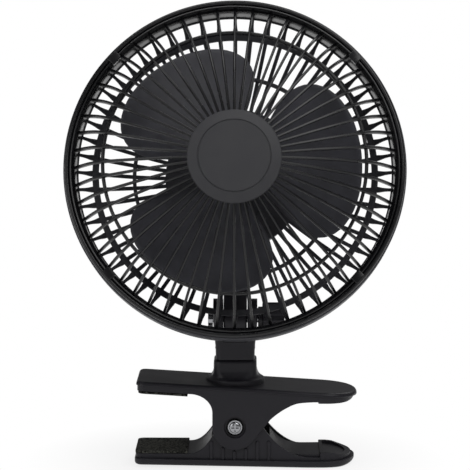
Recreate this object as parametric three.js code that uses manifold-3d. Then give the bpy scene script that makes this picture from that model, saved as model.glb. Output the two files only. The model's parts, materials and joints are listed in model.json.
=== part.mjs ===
// Clip-on desk fan: a sprung clip carries a swivelling neck, and the neck carries a tilting fan head.
// Millimetres, +Z up. The origin is on the ground, under the clip's pivot and the neck's axis.
// X runs along the clip, from the jaw tips (-X) to the squeeze handles (+X). The fan blows towards -Y.

import * as THREE from 'three';
import { mergeVertices } from 'three/addons/utils/BufferGeometryUtils.js';
import Module from 'manifold-3d';

const wasm = await Module();
wasm.setup();

// ---- Driving dimensions -------------------------------------------------------------------------

// Fits
const GAP = 0.3; // clearance between pieces that sit against each other
const RUNNING_GAP = 0.4; // clearance beside pieces that turn

// Clip
const PIVOT_HEIGHT = 23; // pivot axis above the ground
const CLIP_DEPTH = 42; // front face to back face of both jaws
const JAW_REACH = 54.6; // pivot to the upper jaw's tip
const LOWER_OVERHANG = 1.3; // lower jaw's tip beyond the upper jaw's
const HANDLE_REACH = 67.5; // pivot to the ends of the handles
const HANDLE_ROUND = 20; // length of the handles' round ends
const HANDLE_SQUARENESS = 2.3; // 2 is half an ellipse, more is blunter
const TIP_CORNER = 4.5; // chamfer on the corners of the jaw tips
const PLATE = 2.5; // side plates of the upper jaw
const WALL = 2.6; // walls of the lower jaw that carry the pivot
const SKIN = 2.4; // curved skin behind the throat
const PAD = 1.3; // thickness of the grip pads
const PAD_LENGTH = 27.4; // upper pad
const PAD_INSET = 0.9; // upper pad's edges inside the jaw's faces
const LOWER_PAD_INSET = 0.3; // lower pad's edges inside the jaw's body

// Lower jaw
const SILL = 4.4; // height of the base flange
const LOWER_SEAT = 7.7; // pad seat above the ground
const GRIP_TOP = 8.2; // top of the lower grip
const GRIP_START = 45.6; // both grips start this far from the pivot
const GRIP_STEP = 1.1; // the grips stand proud by this much
const EAR_RADIUS = 9.4; // ears of the walls, round the pivot
const FLOOR = 1.6; // inside floor above the sill
const RIBS = 6;
const RIB_START = -12.9; // first rib, behind the throat
const RIB_PITCH = 6.4;
const RIB_WIDTH = 1.1;
const RIB_HEIGHT = 0.35;
const RIB_DROP = 7.8; // ribs end this far below the pivot
const WALL_LOW = 7; // walls end this far below the pivot behind the throat
const RIB_UNDER_LOBE = 0.4; // ribs end this far below the upper jaw's lobe

// Upper jaw
const TOP_ABOVE_PIVOT = 22.6; // top face above the pivot, over the pivot
const TOP_SLOPE = 3.5; // degrees that the top falls towards the handle
const TOP_PLATE = 3;
const TOP_FLANGE = 2.4; // thickness of the flange round the top face
const FLANGE_PROUD = 0.7;
const JAW_THICKNESS = 5.4; // upper jaw at its pad
const GRIP_BELOW = 13.4; // underside of the upper grip above the pivot
const LOBE_RADIUS = 12.6; // round lobe of the side plates about the pivot
const THROAT_RISE = 10.5; // height of the throat's rounded corner

// Pivot
const SCREW_RADIUS = 2;
const SCREW_HEAD_RADIUS = 4.1;
const SCREW_HEAD = 2.1;
const SCREW_RECESS_RADIUS = 5.9;
const SCREW_RECESS = 1.7;
const SPACER_RADIUS = 4.4;
const SPRING_WIRE = 1.1; // wire radius
const SPRING_TURNS = 5;
const SPRING_PITCH = 3.2;

// Neck
const COLLAR_WIDTH = 24;
const COLLAR_TOP = 58.6; // above the ground
const COLLAR_ROUND = 4;
const SKIRT_RADIUS = 16.2;
const SKIRT_TOP = 53;
const SPIGOT_RADIUS = 8;
const NECK_WIDTH_LOW = 21.6;
const NECK_WIDTH_HIGH = 24.6; // across the fork, at the tilt axis
const NECK_DEPTH = 22;
const TILT_HEIGHT = 81.1; // tilt axis above the ground
const FORK_SLOT = 13.6; // slot between the fork's two ears
const BOLT_RADIUS = 2.5;
const KNOB_RADIUS = 9;
const KNOB_LENGTH = 14.8;
const KNOB_FLUTES = 8;

// Head. The head's own frame has its origin at the centre of the grille's ring,
// x to the right, y forwards along the fan's axis and z down.
const HEAD_TILT = 14; // degrees that the fan looks up at rest
const AXIS_ABOVE_TILT = 76.7; // fan axis to tilt axis
const RING_AHEAD_OF_TILT = 47; // ring centre to tilt axis, along the fan's axis
const RING_RADIUS = 93;
const RIM_DEPTH = 7.7; // ring to the inner wall of the front grille's rim
const LIP_DEPTH = 7.6; // ring to the inner lip of the rear grille's rim
const SPOKES = 56; // spokes of the front grille
const REAR_SPOKES = 28;
const HUB_FRONT = 46.2; // front of the hub cap
const HUB_RADIUS = 23.85;
const SPOKE_WIDTH = 1.5;
const FRONT_HOOP_INSET = 14; // rim's inner wall to the hoop
const FRONT_HOOP_AT = 26;
const CAP_HEIGHT = 3.5; // hub cap, front to back
const REAR_SPOKE_WIDTH = 2.4;
const REAR_SPOKE_DEPTH = 1.8;
const REAR_HOOP_INSET = 6.7; // rear lip to the flat hoop
const REAR_HOOP_AT = -14.4;
const REAR_HOOP_WIDTH = 3.6;
const INNER_HOOP_RADIUS = 56;
const INNER_HOOP_AT = -26.6;
const SEAT_RADIUS = 39; // plate in the middle of the rear grille
const SEAT_AT = -31;
const SEAT_PLATE = 2;
const SNAP_ANGLES = [47, 132, 229.5, 312.5]; // clockwise from the top, seen from the front

// Motor
const COVER_RADIUS = 36;
const COVER_WALL = 2.2;
const COVER_LENGTH = 46.6;
const SHAFT_RADIUS = 2.5;
const STATOR_RADIUS = 27;
const STATOR_RING = 5;
const STATOR_STACK = 15;
const STATOR_BACK = -58;
const ROTOR_RADIUS = 13.6;
const BEARING_RADIUS = 6;
const BEARING_LENGTH = 6.5;
const POST_RADIUS = 3;
const POST_CLEARANCE = 0.4; // stator to the screw posts inside the cover
const POST_CIRCLE = STATOR_RADIUS + POST_CLEARANCE + POST_RADIUS;
const SMALL_SCREW_RADIUS = 1.5;
const SWITCH_BELOW = 19.5; // switch axis below the fan's axis
const SPEED_KNOB_RADIUS = 7.5;
const SPEED_KNOB_LENGTH = 8;
const VENTS = 4; // slots in each side of the cover
const VENT_START = 70; // degrees from the top
const VENT_PITCH = 13.5;
const ARM_WIDTH = 13; // arm that reaches from the cover down to the tilt axis
const LUG_RADIUS = 10;
const STATOR_SCREWS = [45, 225]; // clockwise from the top
const POLE_WIDTH = 8;
const POLE_SHOE = 2.6;
const COIL_BUILD = 2.2;
const POST_ANGLES = [0, 120, 240];
const SHAFT_END = 12;

// Blades
const BLADES = 3;
const TIP_GAP = 14.7; // blade tips to the inner wall of the rim
const BLADE_CENTRE = 4; // blades' mid plane on the fan's axis
const BLADE_ANGLE = 83.5; // first blade, degrees clockwise from the top
const BLADE_HALF_ANGLE = 48;
const BLADE_PITCH_REACH = 10.5; // half the blades' depth along the axis
const BLADE_THICKNESS = 1.8;
const BLADE_HUB_RADIUS = 12.8;

const rad = THREE.MathUtils.degToRad;
const between = (a, b, share) => a + (b - a) * share;

// ---- Materials ----------------------------------------------------------------------------------

function plastic(color, roughness = 0.5) {
  return new THREE.MeshStandardMaterial({ color, roughness, metalness: 0 });
}
function metal(color, roughness = 0.35) {
  return new THREE.MeshStandardMaterial({ color, roughness, metalness: 1 });
}
const blackAbs = plastic(0x252428);
const grilleBlack = plastic(0x1d1d20);
const bladeBlack = plastic(0x2b2b2e, 0.4);
const capSatin = plastic(0x3a3a3b, 0.45);
const foam = plastic(0x161614, 0.95);
const rubber = plastic(0x1a1a1a, 0.8);
const nylon = plastic(0xd8d4c6, 0.6);
const steel = metal(0xb9babc);
const springSteel = metal(0x7d7e82);
const laminations = metal(0x6b6d72, 0.6);
const copper = metal(0xb0622f, 0.45);
const bronze = metal(0x9c7434, 0.5);

// ---- Solid helpers ------------------------------------------------------------------------------

// A geometry as a solid, with its faces turned outwards.
function solid(geometry) {
  const loose = geometry.index ? geometry.toNonIndexed() : geometry;
  const bare = new THREE.BufferGeometry();
  bare.setAttribute('position', loose.getAttribute('position').clone());
  const merged = mergeVertices(bare, 1e-4);
  const at = merged.getAttribute('position').array;
  const corners = [];
  let volume = 0;
  for (let i = 0; i < merged.index.count; i += 3) {
    const [a, b, c] = [0, 1, 2].map((k) => merged.index.getX(i + k));
    if (a === b || b === c || c === a) continue;
    corners.push(a, b, c);
    const p = new THREE.Vector3().fromArray(at, 3 * a);
    const q = new THREE.Vector3().fromArray(at, 3 * b);
    const r = new THREE.Vector3().fromArray(at, 3 * c);
    volume += p.dot(q.cross(r));
  }
  if (volume < 0) corners.reverse();
  return new wasm.Manifold(
    new wasm.Mesh({ numProp: 3, vertProperties: at, triVerts: new Uint32Array(corners) }),
  );
}

const union = (solids) => solids.reduce((all, one) => all.add(one));
const cut = (from, tools) => tools.reduce((left, tool) => left.subtract(tool), from);

// A solid as a geometry that a mesh can hold.
function geometryOf(body) {
  const mesh = body.getMesh();
  const geometry = new THREE.BufferGeometry();
  const at = new Float32Array(mesh.numVert * 3);
  for (let i = 0; i < mesh.numVert; i++) {
    at.set(mesh.vertProperties.subarray(i * mesh.numProp, i * mesh.numProp + 3), i * 3);
  }
  geometry.setAttribute('position', new THREE.BufferAttribute(at, 3));
  geometry.setIndex(new THREE.BufferAttribute(new Uint32Array(mesh.triVerts), 1));
  geometry.computeVertexNormals();
  return geometry;
}

function box(low, high) {
  const size = high.map((h, i) => h - low[i]);
  const middle = high.map((h, i) => (h + low[i]) / 2);
  return solid(new THREE.BoxGeometry(...size).translate(...middle));
}

// A cylinder from a to b along one axis ('x', 'y' or 'z'), through the given point.
function rod(axis, radius, a, b, [px, py, pz] = [0, 0, 0], sides = 16) {
  const geometry = new THREE.CylinderGeometry(radius, radius, b - a, sides).translate(0, (a + b) / 2, 0);
  if (axis === 'x') geometry.rotateZ(-Math.PI / 2);
  if (axis === 'z') geometry.rotateX(Math.PI / 2);
  return solid(geometry.translate(px, py, pz));
}

// A ring or disc turned about the y axis from [radius, y] points; a ring's profile closes on itself.
function turned(points, segments = 32) {
  const profile = points.map(([r, y]) => new THREE.Vector2(r, y));
  if (points.every(([r]) => r > 0)) profile.push(profile[0].clone());
  return solid(new THREE.LatheGeometry(profile, segments));
}

function outline(points) {
  return new THREE.Shape(points.map(([a, b]) => new THREE.Vector2(a, b)));
}

// A prism of an (x, z) outline between two y values.
function prismXZ(points, y0, y1) {
  const geometry = new THREE.ExtrudeGeometry(outline(points), { depth: y1 - y0, bevelEnabled: false });
  return solid(geometry.rotateX(Math.PI / 2).translate(0, y1, 0));
}

// A prism of an (x, y) outline between two z values.
function prismXY(points, z0, z1) {
  const geometry = new THREE.ExtrudeGeometry(outline(points), { depth: z1 - z0, bevelEnabled: false });
  return solid(geometry.translate(0, 0, z0));
}

// A prism of a (y, z) outline between two x values.
function prismYZ(points, x0, x1) {
  const geometry = new THREE.ExtrudeGeometry(outline(points), { depth: x1 - x0, bevelEnabled: false });
  return solid(geometry.rotateY(Math.PI / 2).rotateX(Math.PI / 2).translate(x0, 0, 0));
}

// Points on an arc, angles in degrees, from the first to the last.
function arc(cx, cy, rx, ry, from, to, steps) {
  return Array.from({ length: steps + 1 }, (_, i) => {
    const angle = rad(from + ((to - from) * i) / steps);
    return [cx + rx * Math.cos(angle), cy + ry * Math.sin(angle)];
  });
}

function roundedRectangle(width, depth, corner) {
  const x = width / 2 - corner;
  const y = depth / 2 - corner;
  return [
    ...arc(x, y, corner, corner, 0, 90, 4),
    ...arc(-x, y, corner, corner, 90, 180, 4),
    ...arc(-x, -y, corner, corner, 180, 270, 4),
    ...arc(x, -y, corner, corner, 270, 360, 4),
  ];
}

function piece(parent, name, body, material) {
  const mesh = new THREE.Mesh(geometryOf(body), material);
  mesh.name = name;
  parent.add(mesh);
  return mesh;
}

// ---- Clip ---------------------------------------------------------------------------------------

const halfDepth = CLIP_DEPTH / 2;
const wallOut = halfDepth - PLATE - RUNNING_GAP; // outer faces of the lower jaw's walls
const wallIn = wallOut - WALL;
const padStart = -JAW_REACH + PAD_INSET;
const padEnd = padStart + PAD_LENGTH;

const lowerReach = JAW_REACH + LOWER_OVERHANG;

// Plan of a jaw: chamfered tips at -X and a blunt, round handle at +X.
function jawPlan(proud, reach = JAW_REACH) {
  const half = halfDepth + proud;
  const tip = -reach - proud;
  const blunt = (share) => Math.sign(share) * Math.abs(share) ** (2 / HANDLE_SQUARENESS);
  const end = arc(0, 0, 1, 1, -90, 90, 16).map(([along, across]) => [
    HANDLE_REACH - HANDLE_ROUND + (HANDLE_ROUND + proud) * blunt(along),
    half * blunt(across),
  ]);
  return [
    [tip, -half + TIP_CORNER],
    [tip + TIP_CORNER, -half],
    ...end,
    [tip + TIP_CORNER, half],
    [tip, half - TIP_CORNER],
  ];
}

// Top of the lower jaw from the throat's skin to the grip, as (x, z).
const throatFoot = padEnd + 0.6;
const throatTip = -LOBE_RADIUS - 0.6;
function lowerThroat() {
  const run = throatTip - throatFoot;
  const rise = PIVOT_HEIGHT - WALL_LOW - LOWER_SEAT;
  return [0.3, 0.55, 0.75, 0.9, 1].map((t) => [throatFoot + run * t, LOWER_SEAT + rise * t ** 2.2]);
}

// The slope that falls from the peak beside the lobe to the grip.
const peak = [15.9, PIVOT_HEIGHT - 1.2];
function lowerSlope() {
  const floor = GRIP_TOP - GRIP_STEP;
  const run = GRIP_START - 5 - peak[0];
  return [0, 0.12, 0.25, 0.42, 0.65, 1].map((t) => [
    peak[0] + run * t,
    floor + (peak[1] - floor) * (1 - t) ** 2.4,
  ]);
}

function buildLowerJaw() {
  const cavity = [
    [throatTip + 1.8, PIVOT_HEIGHT - WALL_LOW - 0.6],
    [throatTip + SKIN, SILL + 2 * SKIN],
    [throatTip + 2 * SKIN, SILL + FLOOR],
    [peak[0] - 6.7, SILL + FLOOR],
    [peak[0] - 4.5, SILL + 2 * SKIN],
  ];
  const middle = [
    [-lowerReach, 0],
    [HANDLE_REACH, 0],
    [HANDLE_REACH, GRIP_TOP - 1.6],
    [HANDLE_REACH - 6, GRIP_TOP],
    [GRIP_START, GRIP_TOP],
    [GRIP_START, GRIP_TOP - GRIP_STEP],
    ...lowerSlope().reverse(),
    ...cavity.reverse(),
    ...lowerThroat().reverse(),
    [throatFoot, LOWER_SEAT],
    [-lowerReach, LOWER_SEAT],
  ];
  const wall = [
    [throatTip, SILL],
    [peak[0] + 6, SILL],
    ...lowerSlope().slice(0, 2).reverse(),
    [peak[0] - 3.4, PIVOT_HEIGHT + 3],
    ...arc(0, PIVOT_HEIGHT, EAR_RADIUS, EAR_RADIUS, 50, 180, 8),
    [throatTip, PIVOT_HEIGHT - WALL_LOW],
  ];
  const channel = [
    ...lowerSlope().map(([x, z]) => [x - 0.2, z - 1.2]),
    [GRIP_START - 1, GRIP_TOP - GRIP_STEP - 1.2],
    [GRIP_START - 1, PIVOT_HEIGHT],
    [peak[0] - 0.2, PIVOT_HEIGHT],
  ];
  const upright = union([
    prismXZ(middle, -wallOut, wallOut),
    prismXZ(wall, -wallOut, -wallIn),
    prismXZ(wall, wallIn, wallOut),
    ...buildRibs(),
  ]).intersect(prismXY(jawPlan(wallOut - halfDepth + RIB_HEIGHT, lowerReach + PLATE), 0, 2 * PIVOT_HEIGHT));
  const body = upright.add(prismXY(jawPlan(0, lowerReach), 0, SILL));
  return cut(body, [
    prismXZ(channel, -wallIn, wallIn),
    rod('y', SCREW_RADIUS + GAP, -halfDepth, halfDepth, [0, 0, PIVOT_HEIGHT]),
  ]);
}

// Upright ribs on the outside of both walls, under the lobes and the peaks.
function buildRibs() {
  const ribs = [];
  const lobe = LOBE_RADIUS + 1;
  for (let i = 0; i < RIBS; i++) {
    const x = RIB_START + i * RIB_PITCH;
    const under = Math.sqrt(Math.max(0, lobe ** 2 - x ** 2));
    const top = PIVOT_HEIGHT - Math.max(under + RIB_UNDER_LOBE, RIB_DROP);
    const from = wallOut - 0.5;
    const to = wallOut + RIB_HEIGHT;
    const left = x - RIB_WIDTH / 2;
    const right = x + RIB_WIDTH / 2;
    ribs.push(box([left, -to, SILL - 0.5], [right, -from, top]), box([left, from, SILL - 0.5], [right, to, top]));
  }
  return ribs;
}

// The upper jaw is drawn about the pivot: z is the height above the pivot's axis.
const topAt = (x) => TOP_ABOVE_PIVOT - Math.tan(rad(TOP_SLOPE)) * x;
const seatAt = (x) => topAt(x) - JAW_THICKNESS;
const throatTop = seatAt(padEnd + 0.9);
const apex = [19.6, 4.4];

function upperUnderside() {
  return [
    [HANDLE_REACH, GRIP_BELOW],
    [GRIP_START, GRIP_BELOW],
    [GRIP_START, GRIP_BELOW + GRIP_STEP],
    [41.5, GRIP_BELOW + 0.7],
    [34, GRIP_BELOW - 0.1],
    [27.7, GRIP_BELOW - 3],
    [22.6, GRIP_BELOW - 6.4],
    apex,
  ];
}

function throatCorner() {
  const corner = -LOBE_RADIUS;
  const run = corner - (padEnd + 0.9);
  return arc(corner - run, throatTop - THROAT_RISE, run, THROAT_RISE, 0, 90, 8);
}

function buildUpperJaw() {
  const d = Math.hypot(...apex);
  const tangent = THREE.MathUtils.radToDeg(Math.atan2(apex[1], apex[0]) - Math.acos(LOBE_RADIUS / d));
  const top = [
    [-JAW_REACH, seatAt(-JAW_REACH)],
    [-JAW_REACH, topAt(-JAW_REACH)],
    [HANDLE_REACH, topAt(HANDLE_REACH)],
  ];
  const side = [
    ...top,
    ...upperUnderside(),
    ...arc(0, 0, LOBE_RADIUS, LOBE_RADIUS, tangent, -180, 18),
    ...throatCorner(),
  ];
  const skinInner = -LOBE_RADIUS + SKIN;
  const underPlate = (x) => [x, topAt(x) - TOP_PLATE];
  const middle = (skinFoot) => [
    ...top,
    ...upperUnderside(),
    [apex[0] - 1.6, apex[1] + 2],
    [25.4, GRIP_BELOW - 1.2],
    [29, GRIP_BELOW + 1.6],
    underPlate(33),
    underPlate(skinInner),
    [skinInner, skinFoot],
    [-LOBE_RADIUS, skinFoot],
    ...throatCorner(),
  ];
  const flange = [
    [-JAW_REACH - FLANGE_PROUD, topAt(-JAW_REACH - FLANGE_PROUD) - TOP_FLANGE],
    [-JAW_REACH - FLANGE_PROUD, topAt(-JAW_REACH - FLANGE_PROUD)],
    [HANDLE_REACH + FLANGE_PROUD, topAt(HANDLE_REACH + FLANGE_PROUD)],
    [HANDLE_REACH + FLANGE_PROUD, topAt(HANDLE_REACH + FLANGE_PROUD) - TOP_FLANGE],
  ];
  const proud = halfDepth + FLANGE_PROUD;
  const inner = halfDepth - PLATE;
  const stopFoot = -WALL_LOW + GAP;
  const shell = union([
    prismXZ(side, -halfDepth, -inner),
    prismXZ(side, inner, halfDepth),
    prismXZ(middle(1), -inner - 0.1, inner + 0.1),
    prismXZ(middle(stopFoot), -wallIn + RUNNING_GAP, wallIn - RUNNING_GAP),
  ]).intersect(prismXY(jawPlan(0), -JAW_REACH, JAW_REACH));
  const rim = prismXZ(flange, -proud, proud).intersect(prismXY(jawPlan(FLANGE_PROUD), -JAW_REACH, JAW_REACH));
  const collar = buildCollar();
  const bore = SPIGOT_RADIUS + RUNNING_GAP;
  return cut(union([shell, rim, collar]), [
    rod('z', bore, 0, COLLAR_TOP, [0, 0, 0], 32),
    rod('y', SCREW_RADIUS + GAP, -halfDepth - 1, halfDepth + 1),
    rod('y', SCREW_RECESS_RADIUS, -halfDepth - 1, -halfDepth + SCREW_RECESS, [0, 0, 0], 32),
    rod('y', SCREW_RECESS_RADIUS, halfDepth - SCREW_RECESS, halfDepth + 1, [0, 0, 0], 32),
  ]);
}

// Collar that the neck turns in, with its skirt and the flat boss under the top plate.
const bossBottom = topAt(0) - TOP_PLATE - 1.1;
function buildCollar() {
  const collarTop = COLLAR_TOP - PIVOT_HEIGHT;
  const skirtTop = SKIRT_TOP - PIVOT_HEIGHT;
  const base = topAt(0) - 1.6;
  const square = prismXY(roundedRectangle(COLLAR_WIDTH, COLLAR_WIDTH - 0.6, COLLAR_ROUND), base, collarTop);
  const skirt = turned([
    [0, base],
    [SKIRT_RADIUS, base],
    [SKIRT_RADIUS, topAt(-SKIRT_RADIUS) + 0.2],
    [COLLAR_WIDTH / 2 + 1.2, skirtTop - 3.2],
    [COLLAR_WIDTH / 2 - 0.6, skirtTop],
    [0, skirtTop],
  ], 32);
  const upright = solid(geometryOf(skirt).rotateX(Math.PI / 2));
  const boss = rod('z', SPIGOT_RADIUS + 4, bossBottom, base + 0.2, [0, 0, 0], 32);
  return union([square, upright, boss]);
}

// Helical torsion spring on the pivot: one unbroken round wire from leg to leg.
class SpringPath extends THREE.Curve {
  constructor(coilRadius, upperEnd, lowerEnd) {
    super();
    const steps = 8 * SPRING_TURNS;
    const width = SPRING_PITCH * SPRING_TURNS;
    this.points = [new THREE.Vector3(upperEnd[0], -width / 2, upperEnd[1])];
    for (let i = 0; i <= steps + 4; i++) {
      const angle = Math.PI / 2 - (2 * Math.PI * i) / 8;
      const y = -width / 2 + (width * i) / (steps + 4);
      this.points.push(new THREE.Vector3(coilRadius * Math.cos(angle), y, coilRadius * Math.sin(angle)));
    }
    this.points.push(new THREE.Vector3(lowerEnd[0], width / 2, lowerEnd[1]));
  }
  getPoint(t, target = new THREE.Vector3()) {
    const at = t * (this.points.length - 1);
    const i = Math.min(Math.floor(at), this.points.length - 2);
    return target.lerpVectors(this.points[i], this.points[i + 1], at - i);
  }
}

// A round tube with flat ends through a list of points, as one closed surface.
function tubeThrough(points, radius, sides) {
  const position = [];
  const index = [];
  const across = new THREE.Vector3(0, 1, 0);
  points.forEach((p, i) => {
    const before = points[Math.max(i - 1, 0)];
    const after = points[Math.min(i + 1, points.length - 1)];
    const along = after.clone().sub(before).normalize();
    const u = across.clone().addScaledVector(along, -across.dot(along)).normalize();
    const v = along.clone().cross(u);
    for (let k = 0; k < sides; k++) {
      const a = (2 * Math.PI * k) / sides;
      const q = p.clone().addScaledVector(u, radius * Math.cos(a)).addScaledVector(v, radius * Math.sin(a));
      position.push(q.x, q.y, q.z);
    }
  });
  for (let i = 0; i < points.length - 1; i++) {
    for (let k = 0; k < sides; k++) {
      const a = i * sides + k;
      const b = i * sides + ((k + 1) % sides);
      index.push(a, b, a + sides, b, b + sides, a + sides);
    }
  }
  const last = (points.length - 1) * sides;
  for (let k = 1; k < sides - 1; k++) {
    index.push(0, k + 1, k, last, last + k, last + k + 1);
  }
  const geometry = new THREE.BufferGeometry();
  geometry.setAttribute('position', new THREE.Float32BufferAttribute(position, 3));
  geometry.setIndex(index);
  return geometry;
}

// The least gap between one turn of the wire and the next, measured on the path's points.
function leastTurnGap(points, wire) {
  let least = Infinity;
  for (let i = 1; i < points.length - 1; i++) {
    for (let j = i + 6; j < points.length - 1; j++) {
      least = Math.min(least, points[i].distanceTo(points[j]) - 2 * wire);
    }
  }
  return least;
}

function buildSpring() {
  const coilRadius = SPACER_RADIUS + 0.6 + SPRING_WIRE;
  const upperEnd = [17.4, topAt(17.4) - TOP_PLATE - SPRING_WIRE - 0.6];
  const lowerEnd = [8.4, SILL + FLOOR - PIVOT_HEIGHT + SPRING_WIRE + 0.6];
  const path = new SpringPath(coilRadius, upperEnd, lowerEnd);
  console.log('clip spring: least gap between turns', leastTurnGap(path.points, SPRING_WIRE).toFixed(2), 'mm');
  return solid(tubeThrough(path.points, SPRING_WIRE, 5));
}

// Pan head screw with a cross recess; its head is at the front.
function buildPivotScrew() {
  const seat = halfDepth - SCREW_RECESS + GAP;
  const head = turned([
    [0, seat],
    [SCREW_HEAD_RADIUS, seat],
    [SCREW_HEAD_RADIUS, seat + SCREW_HEAD * 0.4],
    [SCREW_HEAD_RADIUS * 0.72, seat + SCREW_HEAD * 0.9],
    [0, seat + SCREW_HEAD],
  ], 24);
  const slot = SCREW_HEAD_RADIUS * 0.62;
  const floor = seat + SCREW_HEAD * 0.45;
  const cross = union([
    box([-slot, floor, -0.5], [slot, seat + 4, 0.5]),
    box([-0.5, floor, -slot], [0.5, seat + 4, slot]),
  ]);
  const shank = rod('y', SCREW_RADIUS, -halfDepth - 0.6, seat + 0.2);
  return solid(geometryOf(cut(head, [cross]).add(shank)).rotateZ(Math.PI));
}

function buildPivotNut() {
  const seat = halfDepth - SCREW_RECESS + GAP;
  return cut(rod('y', 4, seat, seat + 1.6, [0, 0, 0], 6), [
    rod('y', SCREW_RADIUS + GAP, seat - 1, seat + 3),
  ]);
}

const pivotSpacer = () =>
  cut(rod('y', SPACER_RADIUS, -wallIn + GAP, wallIn - GAP, [0, 0, 0], 24), [
    rod('y', SCREW_RADIUS + GAP, -halfDepth, halfDepth),
  ]);

function lowerPad() {
  const half = wallOut - LOWER_PAD_INSET;
  const start = -lowerReach + LOWER_PAD_INSET;
  const plan = [
    [start, -half + TIP_CORNER],
    [start + TIP_CORNER, -half],
    [padEnd, -half],
    [padEnd, half],
    [start + TIP_CORNER, half],
    [start, half - TIP_CORNER],
  ];
  return prismXY(plan, LOWER_SEAT, LOWER_SEAT + PAD);
}

function upperPad() {
  const half = halfDepth - PAD_INSET;
  const side = [
    [padStart, seatAt(padStart) - GAP],
    [padEnd, seatAt(padEnd) - GAP],
    [padEnd, seatAt(padEnd) - GAP - PAD],
    [padStart, seatAt(padStart) - GAP - PAD],
  ];
  return prismXZ(side, -half, half).intersect(prismXY(jawPlan(-PAD_INSET), -JAW_REACH, JAW_REACH));
}

// ---- Neck ---------------------------------------------------------------------------------------

// The neck is drawn from the top of the collar upwards.
const neckFoot = GAP;
const tiltAboveCollar = TILT_HEIGHT - COLLAR_TOP;
const washerTop = PIVOT_HEIGHT + bossBottom - COLLAR_TOP - 2 * GAP;

function buildNeck() {
  const high = tiltAboveCollar;
  const front = [
    [-NECK_WIDTH_LOW / 2, neckFoot],
    [NECK_WIDTH_LOW / 2, neckFoot],
    [NECK_WIDTH_HIGH / 2, high],
    [NECK_WIDTH_HIGH / 2, high + NECK_DEPTH],
    [-NECK_WIDTH_HIGH / 2, high + NECK_DEPTH],
    [-NECK_WIDTH_HIGH / 2, high],
  ];
  const side = [
    [-NECK_DEPTH / 2, neckFoot],
    [NECK_DEPTH / 2, neckFoot],
    ...arc(0, high, NECK_DEPTH / 2, NECK_DEPTH / 2, 0, 180, 12),
  ];
  const wide = NECK_WIDTH_HIGH / 2 + 1;
  const body = prismXZ(front, -NECK_DEPTH, NECK_DEPTH)
    .intersect(prismYZ(side, -wide, wide))
    .intersect(prismXY(roundedRectangle(NECK_WIDTH_HIGH, NECK_DEPTH, 3), -COLLAR_TOP, COLLAR_TOP));
  const slotFloor = high - LUG_RADIUS - 2;
  const spigot = rod('z', SPIGOT_RADIUS, washerTop + GAP, neckFoot + 0.2, [0, 0, 0], 32);
  return cut(body.add(spigot), [
    box([-FORK_SLOT / 2, -NECK_DEPTH, slotFloor], [FORK_SLOT / 2, NECK_DEPTH, high + NECK_DEPTH]),
    rod('x', BOLT_RADIUS + GAP, -wide, wide, [0, 0, high]),
    rod('z', SMALL_SCREW_RADIUS + GAP, washerTop - 1, -4),
  ]);
}

const swivelWasher = () =>
  cut(rod('z', SPIGOT_RADIUS + 1.8, washerTop - 1.2, washerTop, [0, 0, 0], 32), [
    rod('z', SMALL_SCREW_RADIUS + GAP, washerTop - 3, washerTop + 1),
  ]);

function swivelScrew() {
  const seat = washerTop - 1.2 - GAP;
  return rod('z', 3.4, seat - 2, seat).add(rod('z', SMALL_SCREW_RADIUS, seat - 0.5, -4 - GAP));
}

function tiltBolt() {
  const ear = NECK_WIDTH_HIGH / 2;
  const head = rod('x', 5, -ear - GAP - 2.6, -ear - GAP);
  return head.add(rod('x', BOLT_RADIUS, -ear - GAP - 0.5, ear + GAP + KNOB_LENGTH - 3.5));
}

function tiltKnob() {
  const near = NECK_WIDTH_HIGH / 2 + RUNNING_GAP;
  const far = near + KNOB_LENGTH;
  const flutes = [];
  for (let i = 0; i < KNOB_FLUTES; i++) {
    const a = (2 * Math.PI * i) / KNOB_FLUTES;
    const at = [0, (KNOB_RADIUS + 1) * Math.cos(a), (KNOB_RADIUS + 1) * Math.sin(a)];
    flutes.push(rod('x', 2.1, near + 3, far + 1, at, 10));
  }
  const body = union([
    rod('x', KNOB_RADIUS, near + 2.4, far, [0, 0, 0], 32),
    rod('x', KNOB_RADIUS * 0.72, near, near + 2.6, [0, 0, 0], 32),
  ]);
  return cut(body, [...flutes, rod('x', BOLT_RADIUS + GAP, near - 1, far - 3)]);
}

// ---- Head: grilles ------------------------------------------------------------------------------

// Everything here is turned about the head's y axis; angles run clockwise from the top.
function placed(body, degrees) {
  return solid(geometryOf(body).rotateY(rad(-degrees)));
}

// A flat fin in the radial plane that points up (-z): its outline is in (radius, y).
function fin(points, width) {
  const geometry = new THREE.ExtrudeGeometry(outline(points), { depth: width, bevelEnabled: false });
  return solid(geometry.translate(0, 0, -width / 2).rotateY(Math.PI / 2));
}

function spokeRing(shape, width, count) {
  const one = fin(shape, width);
  return Array.from({ length: count }, (_, i) => placed(one, (i * 360) / count));
}

const rimInner = RING_RADIUS - RIM_DEPTH;
const frontHoop = rimInner - FRONT_HOOP_INSET;
const lip = RING_RADIUS - LIP_DEPTH;
const rearHoop = lip - REAR_HOOP_INSET;
const hubSeat = HUB_FRONT - CAP_HEIGHT;

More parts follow.
